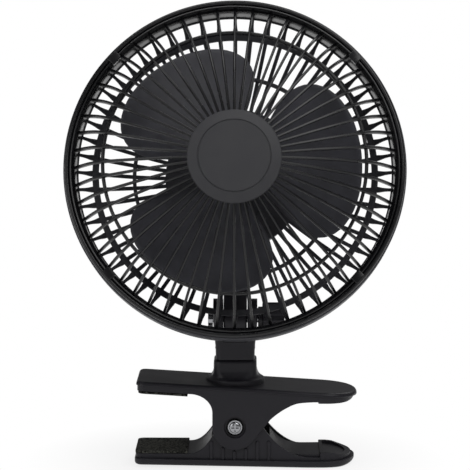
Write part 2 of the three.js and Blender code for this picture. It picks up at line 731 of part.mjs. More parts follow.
function buildFrontGrille() {
  const dish = turned([
    [0, hubSeat - 3],
    [HUB_RADIUS - 0.6, hubSeat - 3],
    [HUB_RADIUS - 0.6, hubSeat],
    [0, hubSeat],
  ], SPOKES / 2);
  const hoop = turned([
    [frontHoop - 1, FRONT_HOOP_AT - 3.2],
    [frontHoop + 1.1, FRONT_HOOP_AT - 3.2],
    [frontHoop + 1.1, FRONT_HOOP_AT],
    [frontHoop - 1, FRONT_HOOP_AT],
  ], SPOKES / 2);
  const rim = turned([
    [rimInner - 0.4, -7.6],
    [rimInner + 1.7, -7.6],
    [rimInner + 2.6, 5],
    [RING_RADIUS - 1.9, 6],
    [RING_RADIUS - 4, 10.5],
    [rimInner + 1.3, 7],
  ], SPOKES);
  const crest = FRONT_HOOP_AT + 1.2;
  const shape = [
    [HUB_RADIUS - 1.4, hubSeat - 0.2],
    [between(HUB_RADIUS, frontHoop, 0.55), between(hubSeat, crest, 0.43)],
    [frontHoop - 0.2, crest],
    [between(frontHoop, rimInner, 0.68), between(crest, 7, 0.58)],
    [rimInner + 2.6, 7],
    [rimInner + 1.2, -7],
    [frontHoop - 0.2, FRONT_HOOP_AT - 4.8],
    [HUB_RADIUS - 1.4, hubSeat - 2.5],
  ];
  return union([dish, hoop, rim, ...spokeRing(shape, SPOKE_WIDTH, SPOKES), ...snapTabs()]);
}

// Four snaps that hold the front grille on the rear one.
function snapTabs() {
  const low = [-3.2, 3.2, -RING_RADIUS + 1.5 + GAP];
  const tab = box([low[0], low[1], low[2]], [-low[0], 8.4, -RING_RADIUS + 6.4]);
  return SNAP_ANGLES.map((angle) => placed(tab, angle));
}

function buildHubCap() {
  const back = hubSeat + GAP;
  const groove = HUB_RADIUS * 0.77;
  return turned([
    [0, back],
    [HUB_RADIUS, back],
    [HUB_RADIUS, HUB_FRONT - 1.6],
    [HUB_RADIUS - 0.8, HUB_FRONT - 0.8],
    [groove + 0.5, HUB_FRONT],
    [groove, HUB_FRONT - 0.5],
    [groove - 0.5, HUB_FRONT],
    [0, HUB_FRONT],
  ], 40);
}

function buildRearGrille() {
  const rim = turned([
    [lip, -10.4],
    [RING_RADIUS, -10.4],
    [RING_RADIUS, 4.2],
    [RING_RADIUS - 1.5, 4.2],
    [RING_RADIUS - 1.8, -8.4],
    [lip, -8.4],
  ], SPOKES);
  const half = REAR_HOOP_WIDTH / 2;
  const flatHoop = turned([
    [rearHoop - half, REAR_HOOP_AT - 3],
    [rearHoop + half, REAR_HOOP_AT - 3],
    [rearHoop + half, REAR_HOOP_AT + 1.2],
    [rearHoop - half, REAR_HOOP_AT + 1.2],
  ], REAR_SPOKES);
  const innerHoop = turned([
    [INNER_HOOP_RADIUS - 1, INNER_HOOP_AT - 2.6],
    [INNER_HOOP_RADIUS + 1, INNER_HOOP_AT - 2.6],
    [INNER_HOOP_RADIUS + 1, INNER_HOOP_AT + 0.9],
    [INNER_HOOP_RADIUS - 1, INNER_HOOP_AT + 0.9],
  ], REAR_SPOKES);
  const seat = turned([
    [BEARING_RADIUS + 2.9, SEAT_AT - SEAT_PLATE],
    [SEAT_RADIUS, SEAT_AT - SEAT_PLATE],
    [SEAT_RADIUS, SEAT_AT],
    [BEARING_RADIUS + 2.9, SEAT_AT],
  ], REAR_SPOKES);
  const front = [
    [lip + 1, -8.8],
    [rearHoop + 1, REAR_HOOP_AT],
    [INNER_HOOP_RADIUS, INNER_HOOP_AT],
    [SEAT_RADIUS - 1, SEAT_AT - 0.1],
  ];
  const back = front.map(([r, y]) => [r, y - REAR_SPOKE_DEPTH]).reverse();
  const spokes = spokeRing([...front, ...back], REAR_SPOKE_WIDTH, REAR_SPOKES);
  const plate = union([seat, rim, flatHoop, innerHoop, ...spokes]);
  return cut(plate, postHoles(SMALL_SCREW_RADIUS + GAP, SEAT_AT - 6, SEAT_AT + 2));
}

// ---- Head: motor --------------------------------------------------------------------------------

const coverFront = SEAT_AT - SEAT_PLATE - GAP;
const coverBack = coverFront - COVER_LENGTH;

function around(degrees, radius) {
  const a = rad(degrees);
  return [radius * Math.sin(a), 0, -radius * Math.cos(a)];
}

const postHoles = (radius, from, to) =>
  POST_ANGLES.map((angle) => rod('y', radius, from, to, around(angle, POST_CIRCLE), 12));

function buildMotorCover() {
  const inside = COVER_RADIUS - COVER_WALL;
  const shell = turned([
    [0, coverBack + COVER_WALL],
    [COVER_RADIUS - 16, coverBack + COVER_WALL],
    [COVER_RADIUS - 9.2, coverBack + 2.9],
    [inside - 1.8, coverBack + 6.8],
    [inside, coverBack + 13],
    [inside, coverFront],
    [COVER_RADIUS, coverFront],
    [COVER_RADIUS, coverBack + 13],
    [COVER_RADIUS - 2, coverBack + 5.5],
    [COVER_RADIUS - 8, coverBack + 0.8],
    [COVER_RADIUS - 15, coverBack],
    [0, coverBack],
  ], 36);
  const boss = rod('y', BEARING_RADIUS + 2.6, coverBack + 1, rearBearing + BEARING_LENGTH, [0, 0, 0], 16);
  const posts = POST_ANGLES.map((angle) =>
    rod('y', POST_RADIUS, coverBack + 2.5, coverFront, around(angle, POST_CIRCLE), 16));
  const heads = postHoles(3.4, coverBack - 1, coverBack + 3.6);
  return cut(union([shell, boss, ...posts, buildArm()]), [
    ...postHoles(SMALL_SCREW_RADIUS + GAP, coverBack - 1, coverFront + 1),
    ...heads,
    rod('y', BEARING_RADIUS + GAP, rearBearing - GAP, coverFront),
    rod('y', 2.6, coverBack - 1, coverBack + 6, [0, 0, SWITCH_BELOW]),
    rod('z', 4.5, COVER_RADIUS - 6, COVER_RADIUS + 3, [0, bushingAt, 0]),
    rod('x', BOLT_RADIUS + GAP, -ARM_WIDTH, ARM_WIDTH, [0, -RING_AHEAD_OF_TILT, AXIS_ABOVE_TILT]),
    ...coverVents(),
  ]);
}

// The arm hangs from the cover and ends in the lug between the fork's ears.
function buildArm() {
  const y = -RING_AHEAD_OF_TILT;
  const z = AXIS_ABOVE_TILT;
  const root = COVER_RADIUS - 1.2;
  const shape = [
    [y + LUG_RADIUS - 3, root],
    [y + LUG_RADIUS - 3, z - LUG_RADIUS - 4],
    ...arc(y, z, LUG_RADIUS, LUG_RADIUS, 0, 180, 12),
    [y - LUG_RADIUS, z - LUG_RADIUS - 10],
    [y - LUG_RADIUS - 3, root],
  ];
  return prismYZ(shape, -ARM_WIDTH / 2, ARM_WIDTH / 2);
}

// Slots through the cover's side that let the motor breathe.
function coverVents() {
  const vents = [];
  const slot = box([-1, coverBack + 17, -COVER_RADIUS - 2], [1, coverBack + 33, -COVER_RADIUS + 6]);
  for (let i = 0; i < VENTS; i++) {
    vents.push(placed(slot, VENT_START + i * VENT_PITCH), placed(slot, -VENT_START - i * VENT_PITCH));
  }
  return vents;
}

const rearBearing = coverBack + 11.5;
const bushingAt = coverBack + 13;

function buildBracket() {
  const back = coverFront - 2;
  const disc = rod('y', STATOR_RADIUS - GAP, back, coverFront - 0.1, [0, 0, 0], 32);
  const boss = rod('y', BEARING_RADIUS + 2.6, back - 2, SEAT_AT + 2, [0, 0, 0], 24);
  const bossBack = STATOR_BACK + STATOR_STACK + GAP;
  const lugs = STATOR_SCREWS.map((a) => rod('y', 3, bossBack, back + 0.5, around(a, statorScrewCircle), 16));
  const holes = STATOR_SCREWS.map((a) =>
    rod('y', SMALL_SCREW_RADIUS + GAP, bossBack - 1, back + 0.6, around(a, statorScrewCircle), 12));
  return cut(union([disc, boss, ...lugs]), [
    ...holes,
    rod('y', BEARING_RADIUS + GAP, back - 3, SEAT_AT + 1),
    rod('y', SHAFT_RADIUS + GAP, back - 3, SEAT_AT + 3),
  ]);
}

const statorScrewCircle = STATOR_RADIUS - STATOR_RING / 2;
const poleFace = ROTOR_RADIUS + 0.5;

function buildStator() {
  const front = STATOR_BACK + STATOR_STACK;
  const ring = turned([
    [STATOR_RADIUS - STATOR_RING, STATOR_BACK],
    [STATOR_RADIUS, STATOR_BACK],
    [STATOR_RADIUS, front],
    [STATOR_RADIUS - STATOR_RING, front],
  ], 32);
  const poles = [0, 90, 180, 270].map((angle) => {
    const half = POLE_WIDTH / 2;
    const neck = box([-half, STATOR_BACK, -STATOR_RADIUS + 2], [half, front, -poleFace - 1]);
    return placed(neck, angle);
  });
  const shoes = [0, 90, 180, 270].map((angle) => {
    const wide = box([-9.5, STATOR_BACK, -30], [9.5, front, -6]);
    const sector = turned([
      [poleFace, STATOR_BACK],
      [poleFace + POLE_SHOE, STATOR_BACK],
      [poleFace + POLE_SHOE, front],
      [poleFace, front],
    ], 32);
    return placed(sector.intersect(wide), angle);
  });
  const holes = STATOR_SCREWS.map((a) =>
    rod('y', SMALL_SCREW_RADIUS + GAP, STATOR_BACK - 1, front + 1, around(a, statorScrewCircle), 12));
  return cut(union([ring, ...poles, ...shoes]), [...holes, rod('y', poleFace, STATOR_BACK - 1, front + 1, [0, 0, 0], 32)]);
}

// One winding round each pole, between its shoe and the ring.
function buildCoil(angle) {
  const inner = POLE_WIDTH / 2 + GAP;
  const back = STATOR_BACK - GAP;
  const front = STATOR_BACK + STATOR_STACK + GAP;
  const near = -poleFace - POLE_SHOE - GAP;
  const far = -STATOR_RADIUS + STATOR_RING + GAP + 1;
  const outer = inner + COIL_BUILD;
  const whole = box([-outer, back - COIL_BUILD, far], [outer, front + COIL_BUILD, near]);
  const hole = box([-inner, back, far - 1], [inner, front, near + 1]);
  return placed(cut(whole, [hole]), angle);
}

function bearing(from) {
  return cut(rod('y', BEARING_RADIUS, from, from + BEARING_LENGTH, [0, 0, 0], 24), [
    rod('y', SHAFT_RADIUS + GAP, from - 1, from + BEARING_LENGTH + 1),
  ]);
}

function statorScrew(angle) {
  const at = around(angle, statorScrewCircle);
  const seat = STATOR_BACK - GAP;
  return rod('y', 2.8, seat - 1.8, seat, at, 16)
    .add(rod('y', SMALL_SCREW_RADIUS, seat - 0.5, coverFront - 2, at, 12));
}

function coverScrew(angle) {
  const at = around(angle, POST_CIRCLE);
  const seat = coverBack + 3.6 - GAP;
  return rod('y', 3, seat - 1.8, seat, at, 16)
    .add(rod('y', SMALL_SCREW_RADIUS, seat - 0.5, SEAT_AT - 0.4, at, 12));
}

function buildSwitch() {
  const back = coverBack + COVER_WALL + 0.8;
  const low = SWITCH_BELOW - 8.5;
  const body = box([-7, back, low], [7, back + 9, low + 13]);
  return body.add(rod('y', 2, coverBack - SPEED_KNOB_LENGTH + 3, back + 1, [0, 0, SWITCH_BELOW], 16));
}

function buildSpeedKnob() {
  const near = coverBack - RUNNING_GAP;
  const far = near - SPEED_KNOB_LENGTH;
  const at = [0, 0, SWITCH_BELOW];
  const skirt = rod('y', SPEED_KNOB_RADIUS, far + 3, near, at, 32);
  const grip = box([-2, far, SWITCH_BELOW - SPEED_KNOB_RADIUS + 0.6], [2, near - 1, SWITCH_BELOW + SPEED_KNOB_RADIUS - 0.6]);
  return cut(skirt.add(grip), [rod('y', 2 + GAP, far + 2.4, near + 1, at, 16)]);
}

function buildBushing() {
  const shell = COVER_RADIUS;
  const body = union([
    rod('z', 4.2, shell - COVER_WALL - 2, shell + 1.5, [0, 0, 0], 20),
    rod('z', 5.6, shell + 0.6, shell + 2.2, [0, 0, 0], 20),
  ]);
  const lead = cut(body, [rod('z', 2.4, shell - 8, shell + 6, [0, 0, 0], 16)]);
  return solid(geometryOf(lead).translate(0, bushingAt, 0));
}

// ---- Head: what turns ---------------------------------------------------------------------------

const bladeTip = rimInner - TIP_GAP;

// Half the blade's angle at a radius, and how far the blade reaches along the axis there.
function bladeHalfAngle(radius) {
  const t = (radius - BLADE_HUB_RADIUS) / (bladeTip - BLADE_HUB_RADIUS);
  const root = 0.78 + 0.22 * Math.min(1, t / 0.5);
  const corner = t > 0.62 ? Math.sqrt(Math.max(0, 1 - ((t - 0.62) / 0.38) ** 3.2)) : 1;
  return BLADE_HALF_ANGLE * root * Math.max(corner, 0.5);
}

// A point of the blade's mid surface: v runs from the trailing edge (-1) to the leading edge (1).
function bladePoint(radius, v) {
  const angle = rad(v * bladeHalfAngle(radius));
  const share = (v * bladeHalfAngle(radius)) / BLADE_HALF_ANGLE;
  const reach = BLADE_PITCH_REACH * (0.8 + 0.2 * Math.min(1, radius / 50));
  const y = BLADE_CENTRE - reach * Math.sin(share * 1.3) + 1.6 * (1 - share * share);
  return new THREE.Vector3(radius * Math.sin(angle), y, -radius * Math.cos(angle));
}

function buildBlade() {
  const across = 8;
  const radii = [0, 0.2, 0.45, 0.65, 0.82, 0.93, 1].map(
    (t) => BLADE_HUB_RADIUS - 1 + (bladeTip - BLADE_HUB_RADIUS + 1) * t,
  );
  const rows = radii.length;
  const columns = across + 1;
  const position = [];
  for (const side of [1, -1]) {
    for (const radius of radii) {
      for (let j = 0; j <= across; j++) {
        const p = bladePoint(radius, (2 * j) / across - 1);
        position.push(p.x, p.y + (side * BLADE_THICKNESS) / 2, p.z);
      }
    }
  }
  const index = [];
  const at = (side, i, j) => side * rows * columns + i * columns + j;
  for (let i = 0; i < rows - 1; i++) {
    for (let j = 0; j < across; j++) {
      index.push(at(0, i, j), at(0, i, j + 1), at(0, i + 1, j));
      index.push(at(0, i, j + 1), at(0, i + 1, j + 1), at(0, i + 1, j));
      index.push(at(1, i, j), at(1, i + 1, j), at(1, i, j + 1));
      index.push(at(1, i, j + 1), at(1, i + 1, j), at(1, i + 1, j + 1));
    }
  }
  const border = [];
  for (let j = 0; j < across; j++) border.push([0, j]);
  for (let i = 0; i < rows - 1; i++) border.push([i, across]);
  for (let j = across; j > 0; j--) border.push([rows - 1, j]);
  for (let i = rows - 1; i > 0; i--) border.push([i, 0]);
  border.forEach(([i, j], k) => {
    const [m, n] = border[(k + 1) % border.length];
    index.push(at(0, i, j), at(1, i, j), at(0, m, n));
    index.push(at(0, m, n), at(1, i, j), at(1, m, n));
  });
  const geometry = new THREE.BufferGeometry();
  geometry.setAttribute('position', new THREE.Float32BufferAttribute(position, 3));
  geometry.setIndex(index);
  return solid(geometry);
}

function buildFanBlades() {
  const hub = turned([
    [0, SHAFT_END + GAP],
    [SHAFT_RADIUS + GAP, SHAFT_END + GAP],
    [SHAFT_RADIUS + GAP, -9],
    [6, -9],
    [6, 8.6],
    [BLADE_HUB_RADIUS - 2, 7],
    [BLADE_HUB_RADIUS - 2, -10],
    [BLADE_HUB_RADIUS, -10],
    [BLADE_HUB_RADIUS, 9],
    [BLADE_HUB_RADIUS - 2.4, 15],
    [5, 17.6],
    [0, 18],
  ], 24);
  const blade = buildBlade();
  const blades = Array.from({ length: BLADES }, (_, i) => placed(blade, BLADE_ANGLE + (i * 360) / BLADES));
  return union([hub, ...blades]);
}

const rotorCore = () =>
  cut(rod('y', ROTOR_RADIUS, STATOR_BACK, STATOR_BACK + STATOR_STACK, [0, 0, 0], 32), [
    rod('y', SHAFT_RADIUS + GAP, STATOR_BACK - 1, STATOR_BACK + STATOR_STACK + 1),
  ]);

const motorShaft = () => rod('y', SHAFT_RADIUS, rearBearing + 0.5, SHAFT_END, [0, 0, 0], 20);

// ---- Assembly -----------------------------------------------------------------------------------

const fan = new THREE.Group();

const base = new THREE.Group();
fan.add(base);
piece(base, 'lower_jaw', buildLowerJaw(), blackAbs);
piece(base, 'lower_pad', lowerPad(), foam);

const pivot = new THREE.Group();
pivot.position.z = PIVOT_HEIGHT;
base.add(pivot);
piece(pivot, 'pivot_screw', buildPivotScrew(), steel);
piece(pivot, 'pivot_nut', buildPivotNut(), steel);
piece(pivot, 'pivot_spacer', pivotSpacer(), nylon);
piece(pivot, 'clip_spring', buildSpring(), springSteel);

const upper = new THREE.Group();
pivot.add(upper);
piece(upper, 'upper_jaw', buildUpperJaw(), blackAbs);
piece(upper, 'upper_pad', upperPad(), foam);

const neck = new THREE.Group();
neck.position.z = COLLAR_TOP - PIVOT_HEIGHT;
upper.add(neck);
piece(neck, 'neck_column', buildNeck(), blackAbs);
piece(neck, 'swivel_washer', swivelWasher(), steel);
piece(neck, 'swivel_screw', swivelScrew(), steel);

const tilt = new THREE.Group();
tilt.position.z = tiltAboveCollar;
neck.add(tilt);
piece(tilt, 'tilt_bolt', tiltBolt(), steel);
piece(tilt, 'tilt_knob', tiltKnob(), blackAbs);

const swing = new THREE.Group();
swing.rotation.x = Math.PI - rad(HEAD_TILT);
tilt.add(swing);
const head = new THREE.Group();
head.position.set(0, RING_AHEAD_OF_TILT, -AXIS_ABOVE_TILT);
swing.add(head);
piece(head, 'front_grille', buildFrontGrille(), grilleBlack);
piece(head, 'hub_cap', buildHubCap(), capSatin);
piece(head, 'rear_grille', buildRearGrille(), grilleBlack);
piece(head, 'motor_cover', buildMotorCover(), blackAbs);
piece(head, 'motor_bracket', buildBracket(), steel);
piece(head, 'stator_core', buildStator(), laminations);
[0, 90, 180, 270].forEach((angle, i) => piece(head, `stator_coil_${i + 1}`, buildCoil(angle), copper));
STATOR_SCREWS.forEach((angle, i) => piece(head, `stator_screw_${i + 1}`, statorScrew(angle), steel));
POST_ANGLES.forEach((angle, i) => piece(head, `cover_screw_${i + 1}`, coverScrew(angle), steel));
piece(head, 'front_bearing', bearing(SEAT_AT - 5.6), bronze);
piece(head, 'rear_bearing', bearing(rearBearing), bronze);
piece(head, 'switch_body', buildSwitch(), nylon);
piece(head, 'speed_knob', buildSpeedKnob(), blackAbs);
piece(head, 'cord_bushing', buildBushing(), rubber);

const impeller = new THREE.Group();
head.add(impeller);
piece(impeller, 'motor_shaft', motorShaft(), steel);
piece(impeller, 'rotor_core', rotorCore(), laminations);
piece(impeller, 'fan_blades', buildFanBlades(), bladeBlack);

export default fan;
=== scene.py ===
"""Clip-on desk fan in black plastic: the looks of every piece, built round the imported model.

Shapes are worked out in millimetres. The head's shapes are drawn in the head's own frame: x to the right,
y forwards along the fan's axis and z down, with its origin at the centre of the grille's ring.
"""

import json
import math

import bmesh
import bpy
from mathutils import Matrix, Vector


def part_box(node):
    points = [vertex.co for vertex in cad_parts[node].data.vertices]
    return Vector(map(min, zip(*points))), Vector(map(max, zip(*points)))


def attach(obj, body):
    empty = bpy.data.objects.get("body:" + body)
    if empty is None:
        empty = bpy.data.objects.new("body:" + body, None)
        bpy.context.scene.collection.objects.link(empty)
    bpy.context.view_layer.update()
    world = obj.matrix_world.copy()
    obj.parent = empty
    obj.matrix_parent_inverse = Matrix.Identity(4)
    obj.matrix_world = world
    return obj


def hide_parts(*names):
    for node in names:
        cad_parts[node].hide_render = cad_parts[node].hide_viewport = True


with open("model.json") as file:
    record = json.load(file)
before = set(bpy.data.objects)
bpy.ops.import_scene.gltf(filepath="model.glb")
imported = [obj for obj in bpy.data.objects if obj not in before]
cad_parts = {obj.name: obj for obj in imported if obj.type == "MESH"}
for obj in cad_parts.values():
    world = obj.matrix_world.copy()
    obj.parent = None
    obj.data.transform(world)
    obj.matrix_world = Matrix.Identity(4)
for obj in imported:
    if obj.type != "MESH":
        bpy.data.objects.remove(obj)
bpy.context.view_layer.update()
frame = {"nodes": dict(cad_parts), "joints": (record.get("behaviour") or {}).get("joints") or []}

MM = 0.001
scene = bpy.context.scene
nodes = frame["nodes"]
joints = {joint["name"]: joint for joint in frame["joints"]}


def joint_point(name):
    return Vector(joints[name]["pos_m"]) / MM


def low_high(node):
    low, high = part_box(node)
    return Vector(low) / MM, Vector(high) / MM


# ---- Camera: the photograph's viewing angle --------------------------------------------------------

CAMERA_TARGET = Vector((0, -22, 130.5))
CAMERA_DISTANCE = 1166
CAMERA_TURN = math.radians(0.46)
CAMERA_ELEVATION = math.radians(6.59)
FIELD_OF_VIEW = math.radians(12.59)


def add_camera():
    camera = bpy.data.objects.new("camera", bpy.data.cameras.new("camera"))
    bpy.context.collection.objects.link(camera)
    away = Vector((
        math.sin(CAMERA_TURN) * math.cos(CAMERA_ELEVATION),
        -math.cos(CAMERA_TURN) * math.cos(CAMERA_ELEVATION),
        math.sin(CAMERA_ELEVATION),
    ))
    camera.location = (CAMERA_TARGET + CAMERA_DISTANCE * away) * MM
    camera.rotation_euler = (-away).to_track_quat("-Z", "Y").to_euler()
    camera.data.angle = FIELD_OF_VIEW
    camera.data.clip_start = 0.01
    scene.camera = camera


add_camera()

# ---- Materials -------------------------------------------------------------------------------------


def linear(hex_colour):
    """An sRGB hex colour as linear red, green, blue and alpha."""
    parts = [int(hex_colour[i : i + 2], 16) / 255 for i in (1, 3, 5)]
    return [p / 12.92 if p <= 0.04045 else ((p + 0.055) / 1.055) ** 2.4 for p in parts] + [1.0]


def add_node(tree, kind, settings=None, **inputs):
    """Adds a node. Settings are its properties; inputs are values, or sockets to link from."""
    node = tree.nodes.new(kind)
    for name, value in (settings or {}).items():
        setattr(node, name, value)
    for name, value in inputs.items():
        key = int(name[1:]) if name[0] == "_" else name.replace("_", " ")
        if isinstance(value, bpy.types.NodeSocket):
            tree.links.new(value, node.inputs[key])
        else:
            node.inputs[key].default_value = value
    return node


def new_material(name, **shader):
    material = bpy.data.materials.new(name)
    material.use_nodes = True
    tree = material.node_tree
    tree.nodes.clear()
    surface = add_node(tree, "ShaderNodeBsdfPrincipled")
    for socket, value in shader.items():
        surface.inputs[socket.replace("_", " ")].default_value = value
    output = add_node(tree, "ShaderNodeOutputMaterial")
    tree.links.new(surface.outputs["BSDF"], output.inputs["Surface"])
    return material, tree, surface


def per_metre(size_mm):
    """The scale of a noise whose features are this many millimetres wide."""
    return 1 / (size_mm * MM)


def tone_between(tree, factor, dark, light, start=0.35, end=0.65):
    ramp = add_node(tree, "ShaderNodeValToRGB", Fac=factor)
    ramp.color_ramp.elements[0].position = start
    ramp.color_ramp.elements[0].color = linear(dark)
    ramp.color_ramp.elements[1].position = end
    ramp.color_ramp.elements[1].color = linear(light)
    return ramp.outputs["Color"]


def span(tree, value, low, high):
    """Maps a noise's middle range to low and high."""
    mapped = add_node(tree, "ShaderNodeMapRange", Value=value)
    mapped.inputs["From Min"].default_value = 0.3
    mapped.inputs["From Max"].default_value = 0.7
    mapped.inputs["To Min"].default_value = low
    mapped.inputs["To Max"].default_value = high
    return mapped.outputs["Result"]


def moulded_abs(
    name, dark, light, rough_low, rough_high, grain_mm, grain_depth_mm, clouds_mm=22, gloss=0.22
):
    """Moulded ABS: a spark-eroded mould leaves a fine grain, and the melt's flow a faint cloudiness."""
    material, tree, surface = new_material(name, IOR=1.53, Specular_IOR_Level=gloss)
    place = add_node(tree, "ShaderNodeTexCoord").outputs["Object"]
    clouds = add_node(
        tree, "ShaderNodeTexNoise", Vector=place, Scale=per_metre(clouds_mm), Detail=3.0, Roughness=0.55
    ).outputs["Fac"]
    grain = add_node(
        tree, "ShaderNodeTexNoise", Vector=place, Scale=per_metre(grain_mm), Detail=2.0, Roughness=0.6
    ).outputs["Fac"]
    tree.links.new(tone_between(tree, clouds, dark, light), surface.inputs["Base Color"])
    tree.links.new(span(tree, clouds, rough_low, rough_high), surface.inputs["Roughness"])
    bump = add_node(tree, "ShaderNodeBump", Height=grain, Strength=1.0, Distance=grain_depth_mm * MM)
    tree.links.new(bump.outputs["Normal"], surface.inputs["Normal"])
    return material


def foam_rubber():
    """Closed-cell foam rubber with a split skin: open cells are pits in the bump, darkened with painted shade
    among paler walls.
    """
    material, tree, surface = new_material("foam_rubber", IOR=1.45, Roughness=0.95, Specular_IOR_Level=0.2)
    place = add_node(tree, "ShaderNodeTexCoord").outputs["Object"]
    cells = add_node(
        tree, "ShaderNodeTexVoronoi", {"feature": "DISTANCE_TO_EDGE"}, Vector=place, Scale=per_metre(1.3)
    ).outputs["Distance"]
    pits_and_painted_shade = add_node(
        tree, "ShaderNodeTexNoise", Vector=place, Scale=per_metre(1.1), Detail=3.0, Roughness=0.7
    ).outputs["Fac"]
    # the darkest tone is painted shade in the open cells, laid where the bump sinks its pits
    tree.links.new(tone_between(tree, pits_and_painted_shade, "#060605", "#4c4c47", 0.45, 0.57), surface.inputs["Base Color"])
    both = add_node(tree, "ShaderNodeMath", {"operation": "MULTIPLY"}, _0=cells, _1=pits_and_painted_shade).outputs["Value"]
    bump = add_node(tree, "ShaderNodeBump", Height=both, Strength=1.0, Distance=0.5 * MM)
    tree.links.new(bump.outputs["Normal"], surface.inputs["Normal"])
    return material


def plated_metal(name, colour, rough_low, rough_high, grain_mm, depth_mm):
    """Plated or drawn metal: near-mirror where it is smooth, with fine handling marks in the roughness."""
    material, tree, surface = new_material(name, Metallic=1.0, Base_Color=linear(colour))
    place = add_node(tree, "ShaderNodeTexCoord").outputs["Object"]
    marks = add_node(
        tree, "ShaderNodeTexNoise", Vector=place, Scale=per_metre(grain_mm), Detail=4.0, Roughness=0.65
    ).outputs["Fac"]
    tree.links.new(span(tree, marks, rough_low, rough_high), surface.inputs["Roughness"])
    bump = add_node(tree, "ShaderNodeBump", Height=marks, Strength=0.6, Distance=depth_mm * MM)
    tree.links.new(bump.outputs["Normal"], surface.inputs["Normal"])
    return material


def layered_metal(name, colour, pitch_mm, rough, metallic=1.0):
    """Stacked sheets or wound wire: fine parallel lines, drawn coarse enough to show."""
    material, tree, surface = new_material(name, Metallic=metallic, Base_Color=linear(colour))
    place = add_node(tree, "ShaderNodeTexCoord").outputs["Object"]
    lines = add_node(
        tree,
        "ShaderNodeTexWave",
        {"bands_direction": "Y"},
        Vector=place,
        Scale=per_metre(pitch_mm) / 20,
        Distortion=0.3,
    ).outputs["Fac"]
    tree.links.new(span(tree, lines, rough, rough + 0.2), surface.inputs["Roughness"])
    bump = add_node(tree, "ShaderNodeBump", Height=lines, Strength=0.8, Distance=0.1 * MM)
    tree.links.new(bump.outputs["Normal"], surface.inputs["Normal"])
    return material


JAW_ABS = moulded_abs("jaw_black_abs", "#1e1d22", "#232227", 0.36, 0.46, 0.5, 0.012)
GRILLE_ABS = moulded_abs("grille_black_abs", "#0b0b0d", "#0f0f12", 0.22, 0.32, 0.8, 0.008, gloss=0.35)
GUARD_ABS = moulded_abs("rear_guard_grained_abs", "#3a3a3e", "#444448", 0.46, 0.56, 0.5, 0.012)
BLADE_PLASTIC = moulded_abs("blade_dark_grey_abs", "#37373c", "#404046", 0.36, 0.46, 0.7, 0.008, 14)
CAP_PLASTIC = moulded_abs("cap_matt_grey_abs", "#333336", "#38383a", 0.52, 0.6, 0.35, 0.012)
FOAM = foam_rubber()
RUBBER = moulded_abs("bushing_rubber", "#161616", "#1c1c1c", 0.7, 0.85, 0.5, 0.02)
NYLON = moulded_abs("natural_nylon", "#cfcbbd", "#d9d5c8", 0.45, 0.6, 0.6, 0.01)
ZINC = plated_metal("zinc_plated_steel", "#9c9da0", 0.2, 0.34, 1.2, 0.01)
SPRING_STEEL = plated_metal("oiled_spring_steel", "#77787c", 0.25, 0.4, 0.8, 0.01)
LAMINATIONS = layered_metal("stacked_sheet_steel", "#6b6d72", 0.5, 0.45)
COPPER = layered_metal("enamelled_copper", "#b0622f", 0.4, 0.3)
BRONZE = plated_metal("sintered_bronze", "#9c7434", 0.45, 0.6, 0.3, 0.02)

# ---- Shapes ----------------------------------------------------------------------------------------


def arc(centre, radius, start, end, steps, radius_2=None):
    """Points on an arc or part of an ellipse; angles in degrees."""
    radius_2 = radius if radius_2 is None else radius_2
    points = []
    for i in range(steps + 1):
        angle = math.radians(start + (end - start) * i / steps)
        points.append((centre[0] + radius * math.cos(angle), centre[1] + radius_2 * math.sin(angle)))
    return points


def smooth_curve(knots, steps):
    """A curve through every knot: each stretch between two knots gets this many steps."""
    knots = [Vector(k) for k in knots]
    knots = [2 * knots[0] - knots[1]] + knots + [2 * knots[-1] - knots[-2]]
    points = []
    for i in range(1, len(knots) - 2):
        a, b, c, d = knots[i - 1 : i + 3]
        for k in range(steps):
            t = k / steps
            bend = (2 * a - 5 * b + 4 * c - d) * t**2
            swing = (3 * b - a - 3 * c + d) * t**3
            points.append(0.5 * (2 * b + (c - a) * t + bend + swing))
    points.append(knots[-2])
    return points


def turned(profile, segments, round_z=False):
    """A closed shape turned from (radius, height) points about y, or z. Radius 0 closes it on the axis."""
    points = []
    rings = []
    for radius, height in profile:
        if radius == 0:
            rings.append([len(points)] * segments)
            points.append((0, 0, height) if round_z else (0, height, 0))
            continue
        ring = []
        for k in range(segments):
            angle = 2 * math.pi * k / segments
            ring.append(len(points))
            across, along = radius * math.sin(angle), radius * math.cos(angle)
            points.append((across, along, height) if round_z else (across, height, -along))
        rings.append(ring)
    if profile[0][0] != 0:
        rings.append(rings[0])
    faces = []
    for near, far in zip(rings, rings[1:]):
        for k in range(segments):
            n = (k + 1) % segments
            face = list(dict.fromkeys((near[k], near[n], far[n], far[k])))
            if len(face) > 2:
                faces.append(face)
    return points, faces


def skinned(sections):
    """A closed shape through equal rings of points, with its two ends filled."""
    count = len(sections[0])
    points = [tuple(p) for section in sections for p in section]
    faces = [list(range(count))[::-1], list(range(len(points) - count, len(points)))]
    for i in range(len(sections) - 1):
        for k in range(count):
            n = (k + 1) % count
            faces.append([i * count + k, i * count + n, (i + 1) * count + n, (i + 1) * count + k])
    return points, faces


def repeated(shape, angles):
    """Copies of a shape turned about the head's y axis; angles run clockwise from the top, in degrees."""
    points = []
    faces = []
    for angle in angles:
        turn = Matrix.Rotation(math.radians(angle), 3, "Y").transposed()
        start = len(points)
        points += [tuple(turn @ Vector(p)) for p in shape[0]]
        faces += [[start + i for i in face] for face in shape[1]]
    return points, faces


def together(*shapes):
    points = []
    faces = []
    for shape_points, shape_faces in shapes:
        start = len(points)
        points += shape_points
        faces += [[start + i for i in face] for face in shape_faces]
    return points, faces


